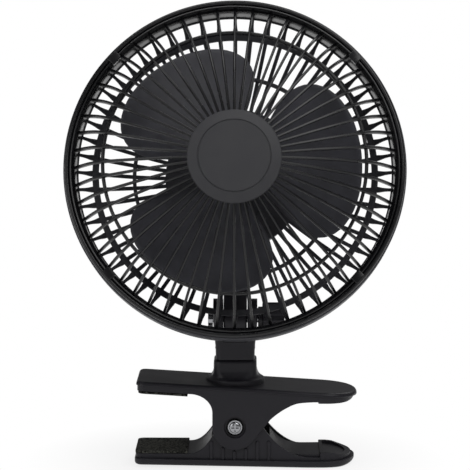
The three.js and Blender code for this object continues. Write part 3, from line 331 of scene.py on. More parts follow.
def prism(outline, low, high, plane, edge=0.0, steps=3):
    """An outline drawn out between two heights, with its sharp edges rounded. The plane is xz, xy or yz."""
    def at(a, b, h):
        return {"xz": (a, h, b), "xy": (a, b, h), "yz": (h, a, b)}[plane]

    form = bmesh.new()
    rims = [[form.verts.new(at(a, b, h)) for a, b in outline] for h in (low, high)]
    form.faces.new(rims[0])
    form.faces.new(rims[1][::-1])
    for k in range(len(outline)):
        n = (k + 1) % len(outline)
        form.faces.new((rims[0][k], rims[1][k], rims[1][n], rims[0][n]))
    bmesh.ops.recalc_face_normals(form, faces=form.faces)
    if edge:
        sharp = [e for e in form.edges if e.calc_face_angle(0) > math.radians(35)]
        bmesh.ops.bevel(
            form, geom=sharp, offset=edge, segments=steps, profile=0.5, affect="EDGES", clamp_overlap=True
        )
    form.verts.index_update()
    shape = [tuple(v.co) for v in form.verts], [[v.index for v in f.verts] for f in form.faces]
    form.free()
    return shape


def rod(axis, radius, low, high, centre=(0, 0), sides=40, edge=0.0):
    """A round bar along x, y or z between two heights."""
    plane = {"x": "yz", "y": "xz", "z": "xy"}[axis]
    return prism(arc(centre, radius, 0, 360 - 360 / sides, sides - 1), low, high, plane, edge)


def rounded_rectangle(width, depth, corner, steps=6):
    x, y = width / 2 - corner, depth / 2 - corner
    outline = []
    for i, centre in enumerate(((x, y), (-x, y), (-x, -y), (x, -y))):
        outline += arc(centre, corner, 90 * i, 90 * i + 90, steps)
    return outline


# ---- Solids ----------------------------------------------------------------------------------------


def work_object(shape, name="work"):
    mesh = bpy.data.meshes.new(name)
    mesh.from_pydata(shape[0], [], shape[1])
    form = bmesh.new()
    form.from_mesh(mesh)
    bmesh.ops.remove_doubles(form, verts=form.verts, dist=1e-5)
    bmesh.ops.recalc_face_normals(form, faces=form.faces)
    form.to_mesh(mesh)
    form.free()
    work = bpy.data.objects.new(name, mesh)
    bpy.context.collection.objects.link(work)
    return work


def settle(work):
    """Applies every modifier of an object."""
    bpy.context.view_layer.update()
    result = bpy.data.meshes.new_from_object(work.evaluated_get(bpy.context.evaluated_depsgraph_get()))
    work.modifiers.clear()
    work.data = result
    return work


def combine(work, shapes, operation):
    """Joins shapes to an object, or cuts them from it, one by one."""
    others = [work_object(shape) for shape in shapes]
    for other in others:
        step = work.modifiers.new("combine", "BOOLEAN")
        step.operation = operation
        step.solver = "MANIFOLD"
        step.object = other
    settle(work)
    for other in others:
        bpy.data.objects.remove(other)
    return work


def joined(work, *shapes):
    return combine(work, shapes, "UNION")


def cut(work, *shapes):
    return combine(work, shapes, "DIFFERENCE")


SPIN_POINT = joint_point("impeller_spin")
FAN_AXIS = Vector(joints["impeller_spin"]["axis"]).normalized()
HEAD_DOWN = Vector((1, 0, 0)).cross(FAN_AXIS)
HEAD = Matrix.Translation(SPIN_POINT) @ Matrix((Vector((1, 0, 0)), FAN_AXIS, HEAD_DOWN)).transposed().to_4x4()
WORLD = Matrix.Identity(4)


def to_head(point):
    return HEAD.inverted() @ Vector(point)


def finished(work, name, material, body, replaced, place=WORLD, crease=34, weighted=True):
    """Names a solid, sets it in its place in metres, shades it and hands it to the frame."""
    work.name = work.data.name = name
    work.data.transform(Matrix.Scale(MM, 4) @ place)
    work.data.materials.clear()
    work.data.materials.append(material)
    for polygon in work.data.polygons:
        polygon.use_smooth = True
        polygon.material_index = 0
    work.data.set_sharp_from_angle(angle=math.radians(crease))
    if weighted:
        shading = work.modifiers.new("weighted", "WEIGHTED_NORMAL")
        shading.keep_sharp = True
        shading.weight = 80
        settle(work)
        work.data.name = name
    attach(work, body)
    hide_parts(*replaced)
    return work


def dress(node, material):
    """Gives a kept node its material."""
    mesh = nodes[node].data
    mesh.materials.clear()
    mesh.materials.append(material)


# ---- Head: grilles ---------------------------------------------------------------------------------

SPOKES = 56
SPOKE_ANGLES = [360 * i / SPOKES for i in range(SPOKES)]
SPOKE_WIDTH = 1.5
ROUND = 224  # facets of the large rings, a whole number for each spoke

RING_RADIUS = 93
RIM_INNER = 86.3
HOOP_RADIUS = 70.2
HOOP_AT = 24.6
HUB_RADIUS = 24.9
CAP_FRONT = 46.2
DISH_FRONT = 42.7
SNAP_ANGLES = (47, 132, 229.5, 312.5)

SPOKE_OUTER = [
    (22.4, 42.3), (36, 39.6), (52, 34.9), (64, 30.3), (71.5, 26.8), (77, 22), (81.8, 15.2), (87.2, 6),
]
SPOKE_INNER = [(22.4, 39.9), (36, 37), (52, 31.8), (63, 27), (70, 22.6), (75, 19), (80, 12), (86.4, 1)]


def front_spoke():
    """One spoke: a rod near the hub that deepens to a fin at the rim, with a round front edge."""
    outer = smooth_curve(SPOKE_OUTER, 4)
    inner = smooth_curve(SPOKE_INNER, 4)
    half = SPOKE_WIDTH / 2
    sections = []
    for front, back in zip(outer, inner):
        depth = (front - back).normalized()
        ring = []
        for angle in (0, 36, 72, 108, 144, 180):
            side = half * math.cos(math.radians(angle))
            rise = half * math.sin(math.radians(angle))
            ring.append((side, front - depth * (half - rise)))
        ring += [(-0.72 * half, back), (0.72 * half, back)]
        sections.append([(x, p[1], -p[0]) for x, p in ring])
    return skinned(sections)


def front_rim():
    """The rim: a tall inner wall with a thin bead and a broad band on its front, and a foot behind."""
    bead = arc((88.8, 7), 0.6, 200, -20, 6)
    band = arc((90.9, 7.1), 1.25, 190, -50, 10)
    wall = [
        (RIM_INNER, -7.6), (RIM_INNER + 0.2, -2), (RIM_INNER + 0.4, 4), (RIM_INNER + 1, 5.8),
        (RIM_INNER + 1.6, 6.4),
    ]
    foot = [(91, 4.8), (88.2, 4.4), (88, 3.4), (88, -7.2), (87.7, -7.6)]
    return turned([*wall, *bead, (89.55, 6.4), *band, *foot], ROUND)


def front_hoop():
    back = [(HOOP_RADIUS - 0.9, HOOP_AT - 1.7), (HOOP_RADIUS + 1, HOOP_AT - 1.9)]
    return turned([*back, *arc((HOOP_RADIUS + 0.1, HOOP_AT), 0.9, 0, 180, 6)], ROUND)


def hub_dish():
    edge = HUB_RADIUS - 0.6
    return turned([(0, DISH_FRONT - 3), (edge, DISH_FRONT - 3), (edge, DISH_FRONT), (0, DISH_FRONT)], ROUND)


def snap():
    return prism(rounded_rectangle(6.4, 4.6, 0.8, 3), 4.2, 8.6, "xz", 0.4)


def lowered(shape, drop):
    return [(x, y, z + drop) for x, y, z in shape[0]], shape[1]


def build_front_grille():
    spokes = work_object(repeated(front_spoke(), SPOKE_ANGLES))
    grille = joined(spokes, together(front_rim(), front_hoop(), hub_dish()))
    joined(grille, repeated(lowered(snap(), -RING_RADIUS + 4.1), SNAP_ANGLES))
    finished(
        grille, "front_guard", GRILLE_ABS, "head", ["front_grille"], HEAD, weighted=False
    )


def build_hub_cap():
    back = low_high_head("hub_cap")[0][1]
    groove = 19.1
    profile = [
        (0, back), (HUB_RADIUS - 0.3, back), (HUB_RADIUS, back + 0.3), (HUB_RADIUS, CAP_FRONT - 3),
        *arc((HUB_RADIUS - 0.9, CAP_FRONT - 2.5), 0.9, 15, 70, 4),
        (groove + 0.9, CAP_FRONT - 0.22), (groove + 0.45, CAP_FRONT - 0.14), (groove + 0.15, CAP_FRONT - 0.5),
        (groove - 0.15, CAP_FRONT - 0.5), (groove - 0.4, CAP_FRONT - 0.1), (groove - 1, CAP_FRONT - 0.02),
        (0, CAP_FRONT),
    ]
    cap = work_object(turned(profile, 160))
    finished(cap, "hub_disc", CAP_PLASTIC, "head", ["hub_cap"], HEAD, crease=50)


def low_high_head(node):
    """A head node's box in the head's own frame."""
    corners = [to_head(v.co / MM) for v in nodes[node].data.vertices]
    return [[pick(c[i] for c in corners) for i in range(3)] for pick in (min, max)]


REAR_LIP = 85.7
REAR_HOOP = 76.8
REAR_HOOP_AT = -14.9
REAR_HOOP_WIDTH = 3.5
INNER_HOOP = 56
INNER_HOOP_FRONT = -25.9
SEAT_RADIUS = 39
SEAT_AT = -31
REAR_SPOKE = [
    (86.6, -9), (84, -10.6), (82, -12), (80.4, -13.2), (78.7, -14.4), (76.8, -15.6), (74, -17.2), (66, -21.6),
    (56, -26.4), (46, -29.8), (38, -31.2),
]


def rear_spoke():
    """A flat bar that flares where it crosses the flat hoop."""
    path = smooth_curve(REAR_SPOKE, 3)
    sections = []
    for i, here in enumerate(path):
        ahead = path[min(i + 1, len(path) - 1)] - path[max(i - 1, 0)]
        out = Vector((ahead[1], -ahead[0])).normalized()
        if out[1] < 0:
            out = -out
        past = here[0] - REAR_HOOP - 1.3
        reach = 2.6 if past > 0 else 2
        half = 1.05 - 0.2 * max(0, min(1, past / 6)) + 0.6 * math.exp(-((past / reach) ** 2))
        front = here + out * 0.1
        back = here - out * 1.7
        ring = [(-half + 0.25, front), (half - 0.25, front), (half, front - out * 0.3), (half * 0.9, back),
                (-half * 0.9, back), (-half, front - out * 0.3)]
        sections.append([(x, p[1], -p[0]) for x, p in ring])
    return skinned(sections)


def rear_rim():
    back = [(REAR_LIP, -10.1), (REAR_LIP + 0.3, -10.4), (92, -10.4), *arc((92.2, -9.6), 0.8, -80, 0, 3)]
    front = [(RING_RADIUS, 3.4), *arc((92.2, 3.4), 0.8, 10, 170, 6)]
    return turned(
        [*back, *front, (91.3, -8.2), (REAR_LIP + 0.3, -8.4), (REAR_LIP, -8.7)],
        ROUND,
    )


def hoop(radius, width, front, depth, tilt=0.0):
    half = width / 2
    return turned(
        [(radius - half, front - depth - tilt), (radius + half, front - depth + tilt),
         (radius + half, front - 0.25 + tilt), (radius + half - 0.25, front + tilt),
         (radius - half + 0.25, front - tilt), (radius - half, front - 0.25 - tilt)],
        ROUND,
    )


def build_rear_grille():
    bore = 8.9
    seat = turned(
        [(bore, SEAT_AT - 2), (SEAT_RADIUS, SEAT_AT - 2), (SEAT_RADIUS, SEAT_AT - 0.3),
         (SEAT_RADIUS - 0.3, SEAT_AT), (bore, SEAT_AT)],
        112,
    )
    rings = together(
        rear_rim(),
        hoop(REAR_HOOP, REAR_HOOP_WIDTH, REAR_HOOP_AT, 1.9, 0.5),
        hoop(INNER_HOOP, 2, INNER_HOOP_FRONT, 2.6),
        seat,
    )
    grille = joined(work_object(repeated(rear_spoke(), SPOKE_ANGLES)), rings)
    finished(grille, "rear_guard", GUARD_ABS, "head", ["rear_grille"], HEAD, weighted=False)


build_front_grille()
build_hub_cap()
build_rear_grille()

# ---- Head: blades ----------------------------------------------------------------------------------

BLADE_CENTRES = (83.5, 203.5, 323.5)
BLADE_TIP = 69
BLADE_ROOT = 11.8
BLADE_HALF = 48.5
BLADE_LEADING = (48, 4.2)  # radius at which the rounded corner starts, and how square it is
BLADE_TRAILING = (42, 3.9)
BLADE_ROWS = 30
BLADE_COLUMNS = 34


def blade_half_angle(radius):
    spread = min(1, (radius - BLADE_ROOT) / 30)
    return BLADE_HALF * (0.78 + 0.22 * math.sin(spread * math.pi / 2))


def blade_point(u, v):
    """A point of the blade's middle surface: u from root to tip, v from the trailing to the leading edge."""
    corner, squareness = BLADE_LEADING if v > 0 else BLADE_TRAILING
    reach = corner + (BLADE_TIP - corner) * math.sqrt(max(0.0, 1 - abs(v) ** squareness))
    radius = BLADE_ROOT + (reach - BLADE_ROOT) * u
    angle = v * blade_half_angle(radius)
    share = angle / BLADE_HALF
    depth = 10.5 * (0.8 + 0.2 * min(1, radius / 50))
    y = 4 - depth * math.sin(share * 1.3) + 1.6 * (1 - share**2) - (1.8 * share**2 if share < 0 else 0)
    turn = math.radians(angle)
    return Vector((radius * math.sin(turn), y, -radius * math.cos(turn)))


def blade():
    """A wide paddle, 1.6 mm thick, with rounded edges all the way round."""
    front = []
    back = []
    for i in range(BLADE_ROWS + 1):
        u = math.sin(i / BLADE_ROWS * math.pi / 2)
        for j in range(BLADE_COLUMNS + 1):
            v = math.sin((2 * j / BLADE_COLUMNS - 1) * math.pi / 2)
            here = blade_point(u, v)
            edge = min(1.0, (1 - abs(v)) * 14, (1 - u) * 22)
            thick = 0.8 * math.sqrt(max(0.0, 1 - (1 - edge) ** 2)) + 0.02
            front.append(here + Vector((0, thick, 0)))
            back.append(here - Vector((0, thick, 0)))
    wide = BLADE_COLUMNS + 1
    count = len(front)
    faces = []
    for i in range(BLADE_ROWS):
        for j in range(BLADE_COLUMNS):
            a = i * wide + j
            faces.append([a, a + 1, a + wide + 1, a + wide])
            faces.append([count + a, count + a + wide, count + a + wide + 1, count + a + 1])
    border = [j for j in range(BLADE_COLUMNS)]
    border += [i * wide + BLADE_COLUMNS for i in range(BLADE_ROWS)]
    border += [BLADE_ROWS * wide + j for j in range(BLADE_COLUMNS, 0, -1)]
    border += [i * wide for i in range(BLADE_ROWS, 0, -1)]
    for a, b in zip(border, border[1:] + border[:1]):
        faces.append([a, count + a, count + b, b])
    return [tuple(p) for p in front + back], faces


def blade_hub():
    return turned(
        [(0, 12.3), (2.8, 12.3), (2.8, -9), (6, -9), (6, 8.6), (10.8, 7), (10.8, -10), (12.5, -10),
         (12.8, -9.7), (12.8, 8.6), *arc((6.2, 10.6), 6.6, 0, 70, 6, 7), (4, 17.7), (0, 18)],
        96,
    )


def build_blades():
    impeller = work_object(blade_hub())
    joined(impeller, repeated(blade(), BLADE_CENTRES))
    finished(
        impeller, "blade_set", BLADE_PLASTIC, "impeller", ["fan_blades"], HEAD,
        weighted=False,
    )


build_blades()

# ---- Head: motor cover and controls ----------------------------------------------------------------

COVER_RADIUS = 36
COVER_FRONT = -33.3
COVER_BACK = COVER_FRONT - 46.6
COVER_WALL = 2.2
POST_CIRCLE = 30.4
POST_ANGLES = (0, 120, 240)
BOLT_HOLE = 2.8  # for the tilt bolt, in the arm, the fork and the knob
TILT_POINT = to_head(joint_point("head_tilt"))
SWITCH_POINT = to_head(joint_point("speed_knob_turn"))


def cover_shell():
    outer = arc((COVER_RADIUS - 15, COVER_BACK + 13), 15, 0, -90, 12, 13)
    inside = COVER_RADIUS - COVER_WALL
    inner = arc((inside - 14, COVER_BACK + 13), 14, -90, 0, 12, 10.8)
    lip = [(inside, COVER_FRONT), (COVER_RADIUS - 0.4, COVER_FRONT), (COVER_RADIUS, COVER_FRONT - 0.4)]
    return turned([(0, COVER_BACK + COVER_WALL), *inner, *lip, *outer, (0, COVER_BACK)], 144)


def cover_arm():
    y, z = TILT_POINT[1], TILT_POINT[2]
    root = COVER_RADIUS - 1.2
    side = [(y + 7, root), (y + 7, z - 14), *arc((y, z), 10, 0, 180, 20), (y - 10, z - 20), (y - 14, root)]
    return prism(side, -6.5, 6.5, "yz", 1.2, 4)


def build_motor_cover():
    bearing_seat = rod("y", 8.6, COVER_BACK + 1, COVER_BACK + 18, sides=48)
    cover = joined(work_object(cover_shell()), cover_arm(), bearing_seat)
    turns = [math.radians(angle) for angle in POST_ANGLES]
    posts = [(POST_CIRCLE * math.sin(turn), -POST_CIRCLE * math.cos(turn)) for turn in turns]
    joined(cover, *[rod("y", 3, COVER_BACK + 2.5, COVER_FRONT, centre, 24) for centre in posts])
    vent = prism(rounded_rectangle(2, 16, 0.95, 3), -COVER_RADIUS - 2, -COVER_RADIUS + 6, "xy")
    vent = [(x, y + COVER_BACK + 25, z) for x, y, z in vent[0]], vent[1]
    angles = [sign * (70 + 13.5 * i) for sign in (1, -1) for i in range(4)]
    cut(
        cover,
        *[rod("y", 1.8, COVER_BACK - 1, COVER_FRONT + 1, centre, 24) for centre in posts],
        *[rod("y", 3.5, COVER_BACK - 1, COVER_BACK + 3.6, centre, 32) for centre in posts],
        rod("y", 6.3, COVER_BACK + 11.2, COVER_FRONT, sides=48),
        rod("y", 2.6, COVER_BACK - 1, COVER_BACK + 6, (0, SWITCH_POINT[2]), 32),
        rod("z", 4.5, COVER_RADIUS - 6, COVER_RADIUS + 3, (0, COVER_BACK + 13), 40),
        rod("x", BOLT_HOLE, -8, 8, (TILT_POINT[1], TILT_POINT[2]), 32),
        repeated(vent, angles),
    )
    finished(cover, "motor_housing", JAW_ABS, "head", ["motor_cover"], HEAD)


def build_speed_knob():
    near, far = COVER_BACK - 0.4, COVER_BACK - 8.4
    z = SWITCH_POINT[2]
    knob = work_object(rod("y", 7.5, far + 3, near, (0, z), 64, 0.7))
    grip = prism(rounded_rectangle(4.2, 13.6, 1.2, 4), far, near - 1, "xz", 0.8)
    joined(knob, ([(x, y, c + z) for x, y, c in grip[0]], grip[1]))
    cut(knob, rod("y", 2.3, far + 2.4, near + 1, (0, z), 24))
    finished(knob, "speed_selector", JAW_ABS, "speed_dial", ["speed_knob"], HEAD)


build_motor_cover()
build_speed_knob()

# ---- Neck ------------------------------------------------------------------------------------------

COLLAR_TOP = joint_point("neck_swivel")[2]
TILT_Z = joint_point("head_tilt")[2]
NECK_DEPTH = 22


def neck_section(z, width, depth, corner, steps=8):
    return [(x, y, z) for x, y in rounded_rectangle(width, depth, corner, steps)]


def build_neck():
    """A square column with rounded corners, a raised band near its foot, and the tilt fork on top."""
    foot = COLLAR_TOP + 0.3
    top = TILT_Z + NECK_DEPTH / 2
    band = foot + 6.6
    rows = [
        (foot, 20.9, 3), (foot + 0.35, 21.6, 3.2), (band - 0.5, 21.9, 3.2), (band - 0.1, 22.3, 3.2),
        (band + 0.3, 22.3, 3.2), (band + 0.8, 22, 3.2), (TILT_Z - 4, 24.2, 3.2), (TILT_Z, 24.6, 3.2),
        (top + 2, 24.6, 3.2),
    ]
    column = work_object(skinned([neck_section(z, w, min(NECK_DEPTH, w + 0.4), c) for z, w, c in rows]))
    side = [(-12, foot - 1), (12, foot - 1), (12, TILT_Z), *arc((0, TILT_Z), 11, 0, 180, 24), (-12, TILT_Z)]
    combine(column, [prism(side, -16, 16, "yz", 0.0)], "INTERSECT")
    rim = column.modifiers.new("rounding", "BEVEL")
    rim.width = 0.5
    rim.segments = 2
    rim.angle_limit = math.radians(50)
    settle(column)
    joined(column, rod("z", 8, foot - 17, foot + 0.2, sides=48))
    slot_half = 6.8
    slot = [(-slot_half, TILT_Z - 12), (slot_half, TILT_Z - 12), (slot_half, top + 5), (-slot_half, top + 5)]
    cut(
        column,
        prism(slot, -NECK_DEPTH, NECK_DEPTH, "xz"),
        rod("x", BOLT_HOLE, -20, 20, (0, TILT_Z), 32),
        rod("z", 1.8, foot - 20, COLLAR_TOP - 4, sides=24),
    )
    finished(column, "neck", JAW_ABS, "neck", ["neck_column"])


def build_tilt_knob():
    low, high = low_high("tilt_knob")
    flutes = 12
    outline = []
    for k in range(flutes * 12):
        angle = 2 * math.pi * k / (flutes * 12)
        radius = 8.62 + 0.38 * math.cos(flutes * angle)
        outline.append((radius * math.cos(angle), TILT_Z + radius * math.sin(angle)))
    knob = work_object(prism(outline, low[0] + 2.4, high[0], "yz"))
    rim = knob.modifiers.new("rounding", "BEVEL")
    rim.width = 0.9
    rim.segments = 3
    rim.angle_limit = math.radians(60)
    settle(knob)
    joined(knob, rod("x", 6.5, low[0], low[0] + 2.6, (0, TILT_Z), 48, 0.3))
    bolt_hole = rod("x", BOLT_HOLE, low[0] - 1, high[0] - 3, (0, TILT_Z), 32)
    cut(knob, bolt_hole, rod("x", 5.6, high[0] - 0.8, high[0] + 1, (0, TILT_Z), 48))
    finished(knob, "tilt_wheel", JAW_ABS, "tilt_clamp", ["tilt_knob"])


build_neck()
build_tilt_knob()

# ---- Clip ------------------------------------------------------------------------------------------

PIVOT_Z = joint_point("clip_hinge")[2]
HALF_DEPTH = 21
JAW_REACH = 54.6
HANDLE_REACH = 67.5
HANDLE_ROUND = 20
HANDLE_SQUARENESS = 2.3
TOP_Z = PIVOT_Z + 22.6
TOP_SLOPE = math.tan(math.radians(3.5))
JAW_THICKNESS = 5.4
LOBE = 12.6
PAD_START = -JAW_REACH + 0.9
PAD_END = PAD_START + 27.4
THROAT_X = -LOBE
UPPER_NOTCH = 46.1
LOWER_STEP = 47.2
GRIP_Z = PIVOT_Z + 13.4
APEX = (19.6, PIVOT_Z + 4.4)
PLATE_IN = 18.5
LOWER_REACH = 55.9
SILL = 3.75
SILL_HALF = 20.4
LOWER_SEAT = 7.7
GRIP_TOP = 8.2
WALL_OUT = 18.1
WALL_IN = 15.5
EAR_GROOVE = [(3.4, WALL_OUT - 1.3), (6.1, WALL_OUT - 1.3), (6.1, WALL_OUT + 1), (3.4, WALL_OUT + 1)]
PEAK = (15.9, PIVOT_Z - 1.2)
THROAT_FOOT = PAD_END + 0.6
THROAT_TIP = THROAT_X - 0.6
SLOPE_END = 43.4
SLOPE_FLOOR = 5.6
PIVOT_HOLE = 2.3
LOWER_PAD = 1.5
UPPER_PAD = 1.3
PAD_GAP = 0.3  # between the upper pad and its seat
TIP_LIFT = 1.65
NOSE_LIFT = 1.9


def top_at(x):
    return TOP_Z - TOP_SLOPE * x


def seat_at(x):
    return top_at(x) - JAW_THICKNESS


def jaw_plan(half, tip, reach, corner=4.0):
    """A jaw seen from above: rounded corners at the tips, a blunt half ellipse at the handle."""
    turn = HANDLE_REACH - HANDLE_ROUND
    power = 2 / HANDLE_SQUARENESS
    handle = []
    for k in range(37):
        angle = math.pi * (k / 36 - 0.5)
        side = math.copysign(abs(math.sin(angle)) ** power, angle)
        handle.append((turn + (reach - turn) * abs(math.cos(angle)) ** power, half * side))
    return [
        *arc((corner - tip, corner - half), corner, 180, 270, 6), *handle,
        *arc((corner - tip, half - corner), corner, 90, 180, 6),
    ]


def rounded_plate(plan, low, high, low_edge, high_edge, steps=5):
    """A plate with rounded edges. The plan is a function of how far it is drawn in."""
    rows = []
    for k in range(steps + 1):
        angle = math.pi / 2 * k / steps
        rows.append((low + low_edge * (1 - math.cos(angle)), low_edge * (1 - math.sin(angle))))
    for k in range(steps + 1):
        angle = math.pi / 2 * k / steps
        rows.append((high - high_edge * (1 - math.sin(angle)), high_edge * (1 - math.cos(angle))))
    return skinned([[(x, y, z) for x, y in plan(inset)] for z, inset in rows])


def sloped(shape):
    """A flat shape drawn at height 0 over the pivot, laid on the upper jaw's falling top."""
    return [(x, y, z + top_at(x)) for x, y, z in shape[0]], shape[1]


def upper_handle_end():
    return [(HANDLE_REACH, GRIP_Z + 1.9), (64.6, GRIP_Z + 0.8), (62, GRIP_Z + 0.2), (59, GRIP_Z)]


def upper_underside():
    knots = [
        (UPPER_NOTCH, GRIP_Z + 0.8), (41.5, GRIP_Z + 0.7), (34, GRIP_Z - 0.1), (27.7, GRIP_Z - 3),
        (22.9, GRIP_Z - 6.2), APEX,
    ]
    return [tuple(p) for p in smooth_curve(knots, 3)]


def throat_curve():
    top = seat_at(PAD_END + 0.9)
    run = THROAT_X - (PAD_END + 0.9)
    return arc((THROAT_X - run, top - 10.5), run, 0, 90, 12, 10.5)


def side_plate():
    distance = math.hypot(APEX[0], APEX[1] - PIVOT_Z)
    bearing = math.degrees(math.atan2(APEX[1] - PIVOT_Z, APEX[0]))
    tangent = bearing - math.degrees(math.acos(LOBE / distance))
    return [
        (-JAW_REACH, seat_at(-JAW_REACH)), (-JAW_REACH, top_at(-JAW_REACH) - 0.6),
        (HANDLE_REACH, top_at(HANDLE_REACH) - 0.6), *upper_handle_end(), (UPPER_NOTCH, GRIP_Z),
        *upper_underside(), *arc((0, PIVOT_Z), LOBE, tangent, -180, 34), *throat_curve(),
    ]


def middle_block(skin_foot):
    inner = THROAT_X + 2.4
    under = [(x, top_at(x) - 3) for x in (33, inner)]
    return [
        (-JAW_REACH, seat_at(-JAW_REACH)), (-JAW_REACH, top_at(-JAW_REACH) - 0.6),
        (HANDLE_REACH, top_at(HANDLE_REACH) - 0.6), *upper_handle_end(), (UPPER_NOTCH, GRIP_Z),
        *upper_underside(), (APEX[0] - 1.6, APEX[1] + 2), (25.4, GRIP_Z - 1.2), (29, GRIP_Z + 1.6),
        *under, (inner, skin_foot), (THROAT_X, skin_foot), *throat_curve(),
    ]


def collar():
    """The neck's collar: a rounded square that flares into a round, raised boss."""
    sections = []
    for z, width, corner in (
        (44.6, 29.6, 12), (48.3, 29.6, 12), (48.8, 28, 10.5), (49.5, 26.4, 8.5), (50.5, 25.2, 6.4),
        (51.7, 24.4, 4.8), (53, 24, 4), (57, 24, 4), (57.8, 23.8, 4), (58.3, 23.3, 3.8), (58.6, 22.4, 3.6),
    ):
        sections.append(neck_section(z, width, width - 0.6, corner, 8))
    return skinned(sections)


def boss_disc():
    rise = 48.3
    edge = arc((15.4, rise - 0.9), 0.8, 0, 80, 4)
    crown = [(13, rise + 0.3), (12, rise + 1.6), (0, rise + 1.6)]
    return turned([(0, 43.6), (16.2, 43.6), (16.2, rise - 0.9), *edge, *crown], 96, round_z=True)


# The pivot's recess: radius, and depth behind the face.
RECESS = [(0, -0.4), (6.1, -0.4), (6.1, 1.9), (5.8, 2.2), (5, 2.2), (5, 4), (0, 4)]


def pivot_recess(side):
    """The recess round the pivot in one side plate, with the ear's running hole at its bottom."""
    shape = turned(RECESS, 64)
    return [(x, side * (HALF_DEPTH - y), z + PIVOT_Z) for x, y, z in shape[0]], shape[1]


def build_upper_jaw():
    def flange_plan(inset):
        reach = HANDLE_REACH + 0.7 - inset
        return jaw_plan(HALF_DEPTH + 0.8 - inset, JAW_REACH + 0.25 - inset, reach, 4.5 - inset)

    flange = sloped(rounded_plate(flange_plan, -2.4, 0, 0.3, 1.9))
    jaw = work_object(prism(side_plate(), -HALF_DEPTH, -PLATE_IN, "xz", 0.5))
    joined(jaw, prism(side_plate(), PLATE_IN, HALF_DEPTH, "xz", 0.5),
           prism(middle_block(PIVOT_Z + 1), -PLATE_IN - 0.2, PLATE_IN + 0.2, "xz"),
           prism(middle_block(PIVOT_Z - 6.7), -14.8, 14.8, "xz"))
    plan = jaw_plan(HALF_DEPTH, JAW_REACH - 0.4, HANDLE_REACH - 1.3, 3.6)
    combine(jaw, [prism(plan, 0, 80, "xy")], "INTERSECT")
    joined(jaw, flange, collar(), boss_disc())
    cut(jaw, rod("z", 8.4, 20, COLLAR_TOP + 1, sides=64), rod("y", PIVOT_HOLE, -30, 30, (0, PIVOT_Z), 32),
        pivot_recess(-1), pivot_recess(1))
    finished(jaw, "clip_upper_jaw", JAW_ABS, "clip_lever", ["upper_jaw"])


def lower_throat(tip, top, steps=10):
    """The throat's floor, from the pad's end up to the hinge."""
    run = tip - THROAT_FOOT
    rise = top - LOWER_SEAT
    points = []
    for k in range(1, steps + 1):
        points.append((THROAT_FOOT + run * k / steps, LOWER_SEAT + rise * (k / steps) ** 2.2))
    return points


def lower_slope(steps=14):
    """The side walls' top edge, from the peak by the hinge down to the handle."""
    run = SLOPE_END - PEAK[0]
    points = []
    for k in range(steps + 1):
        height = SLOPE_FLOOR + (PEAK[1] - SLOPE_FLOOR) * (1 - k / steps) ** 2.35
        points.append((PEAK[0] + run * k / steps, height))
    return points


def lower_middle():
    """The body between the walls: tip, throat, a hollow under the hinge, and the fallen nose."""
    knots = [(LOWER_STEP, 7.1), (40, 7), (35, 7.1), (30.5, 7.9), (26.5, 9.7), (23, 12.4), (19.4, 16.4)]
    floor = [tuple(p) for p in smooth_curve(knots, 3)]
    hollow = [
        (17, 15), (13, 9), (9.2, SILL + 2), (THROAT_TIP + 4.4, SILL + 2), (THROAT_TIP + 2.4, SILL + 4.4),
        (THROAT_TIP + 1.8, PIVOT_Z - 7.6),
    ]
    nose = [
        (HANDLE_REACH, 0), (HANDLE_REACH, 5.6), (64.4, 6.1), (61.7, 6.4), (58.3, 7), (54.8, 7.9),
        (51, GRIP_TOP),
    ]
    throat = lower_throat(THROAT_TIP, PIVOT_Z - 7)[::-1]
    seat = [(THROAT_FOOT, LOWER_SEAT), (-LOWER_REACH, LOWER_SEAT)]
    return [(-LOWER_REACH, 0), *nose, (LOWER_STEP, GRIP_TOP), *floor, *hollow, *throat, *seat]


def lower_wall():
    """A side wall with the ear that the pivot goes through."""
    foot = [(-LOWER_REACH, 1), (LOWER_STEP, 1), (LOWER_STEP, SLOPE_FLOOR)]
    ear_round = arc((0, PIVOT_Z), 9.4, 50, 180, 16)
    ear = [(PEAK[0] - 3.4, PIVOT_Z + 3), *ear_round, (THROAT_X + 0.6, PIVOT_Z - 4.6)]
    throat = lower_throat(THROAT_X - 0.2, PIVOT_Z - 5.8)[::-1]
    seat = [(THROAT_FOOT, LOWER_SEAT), (-LOWER_REACH, LOWER_SEAT)]
    return [*foot, *lower_slope()[::-1], *ear, *throat, *seat]


def wall_ribs():
    """Upright ribs under both lobes, with rounded faces and ends."""
    ribs = []
    for i in range(6):
        x = 6.4 * i - 13.2
        under = math.sqrt(max(0, (LOBE + 0.6) ** 2 - x**2))
        top = PIVOT_Z - max(under + 0.3, 8)
        for side in (-1, 1):
            outline = rounded_rectangle(1.9, top - SILL + 1, 0.9, 4)
            rib = prism(outline, WALL_OUT - 1, WALL_OUT + 0.9, "xz", 0.75, 4)
            middle = (top + SILL - 1) / 2
            ribs.append(([(px + x, side * py, pz + middle) for px, py, pz in rib[0]], rib[1]))
    return together(*ribs)


def thumb_dish():
    """The shallow dish in the lower handle's top, which falls with the nose."""
    outline = [(49, -14.6), *arc((51, 0), 10.6, -90, 90, 24, 15.2), (49, 14.6)]
    dish = prism(outline, 0, 10, "xy", 0.0)
    return [(x, y, z + 7 - 0.13 * (x - 49)) for x, y, z in dish[0]], dish[1]


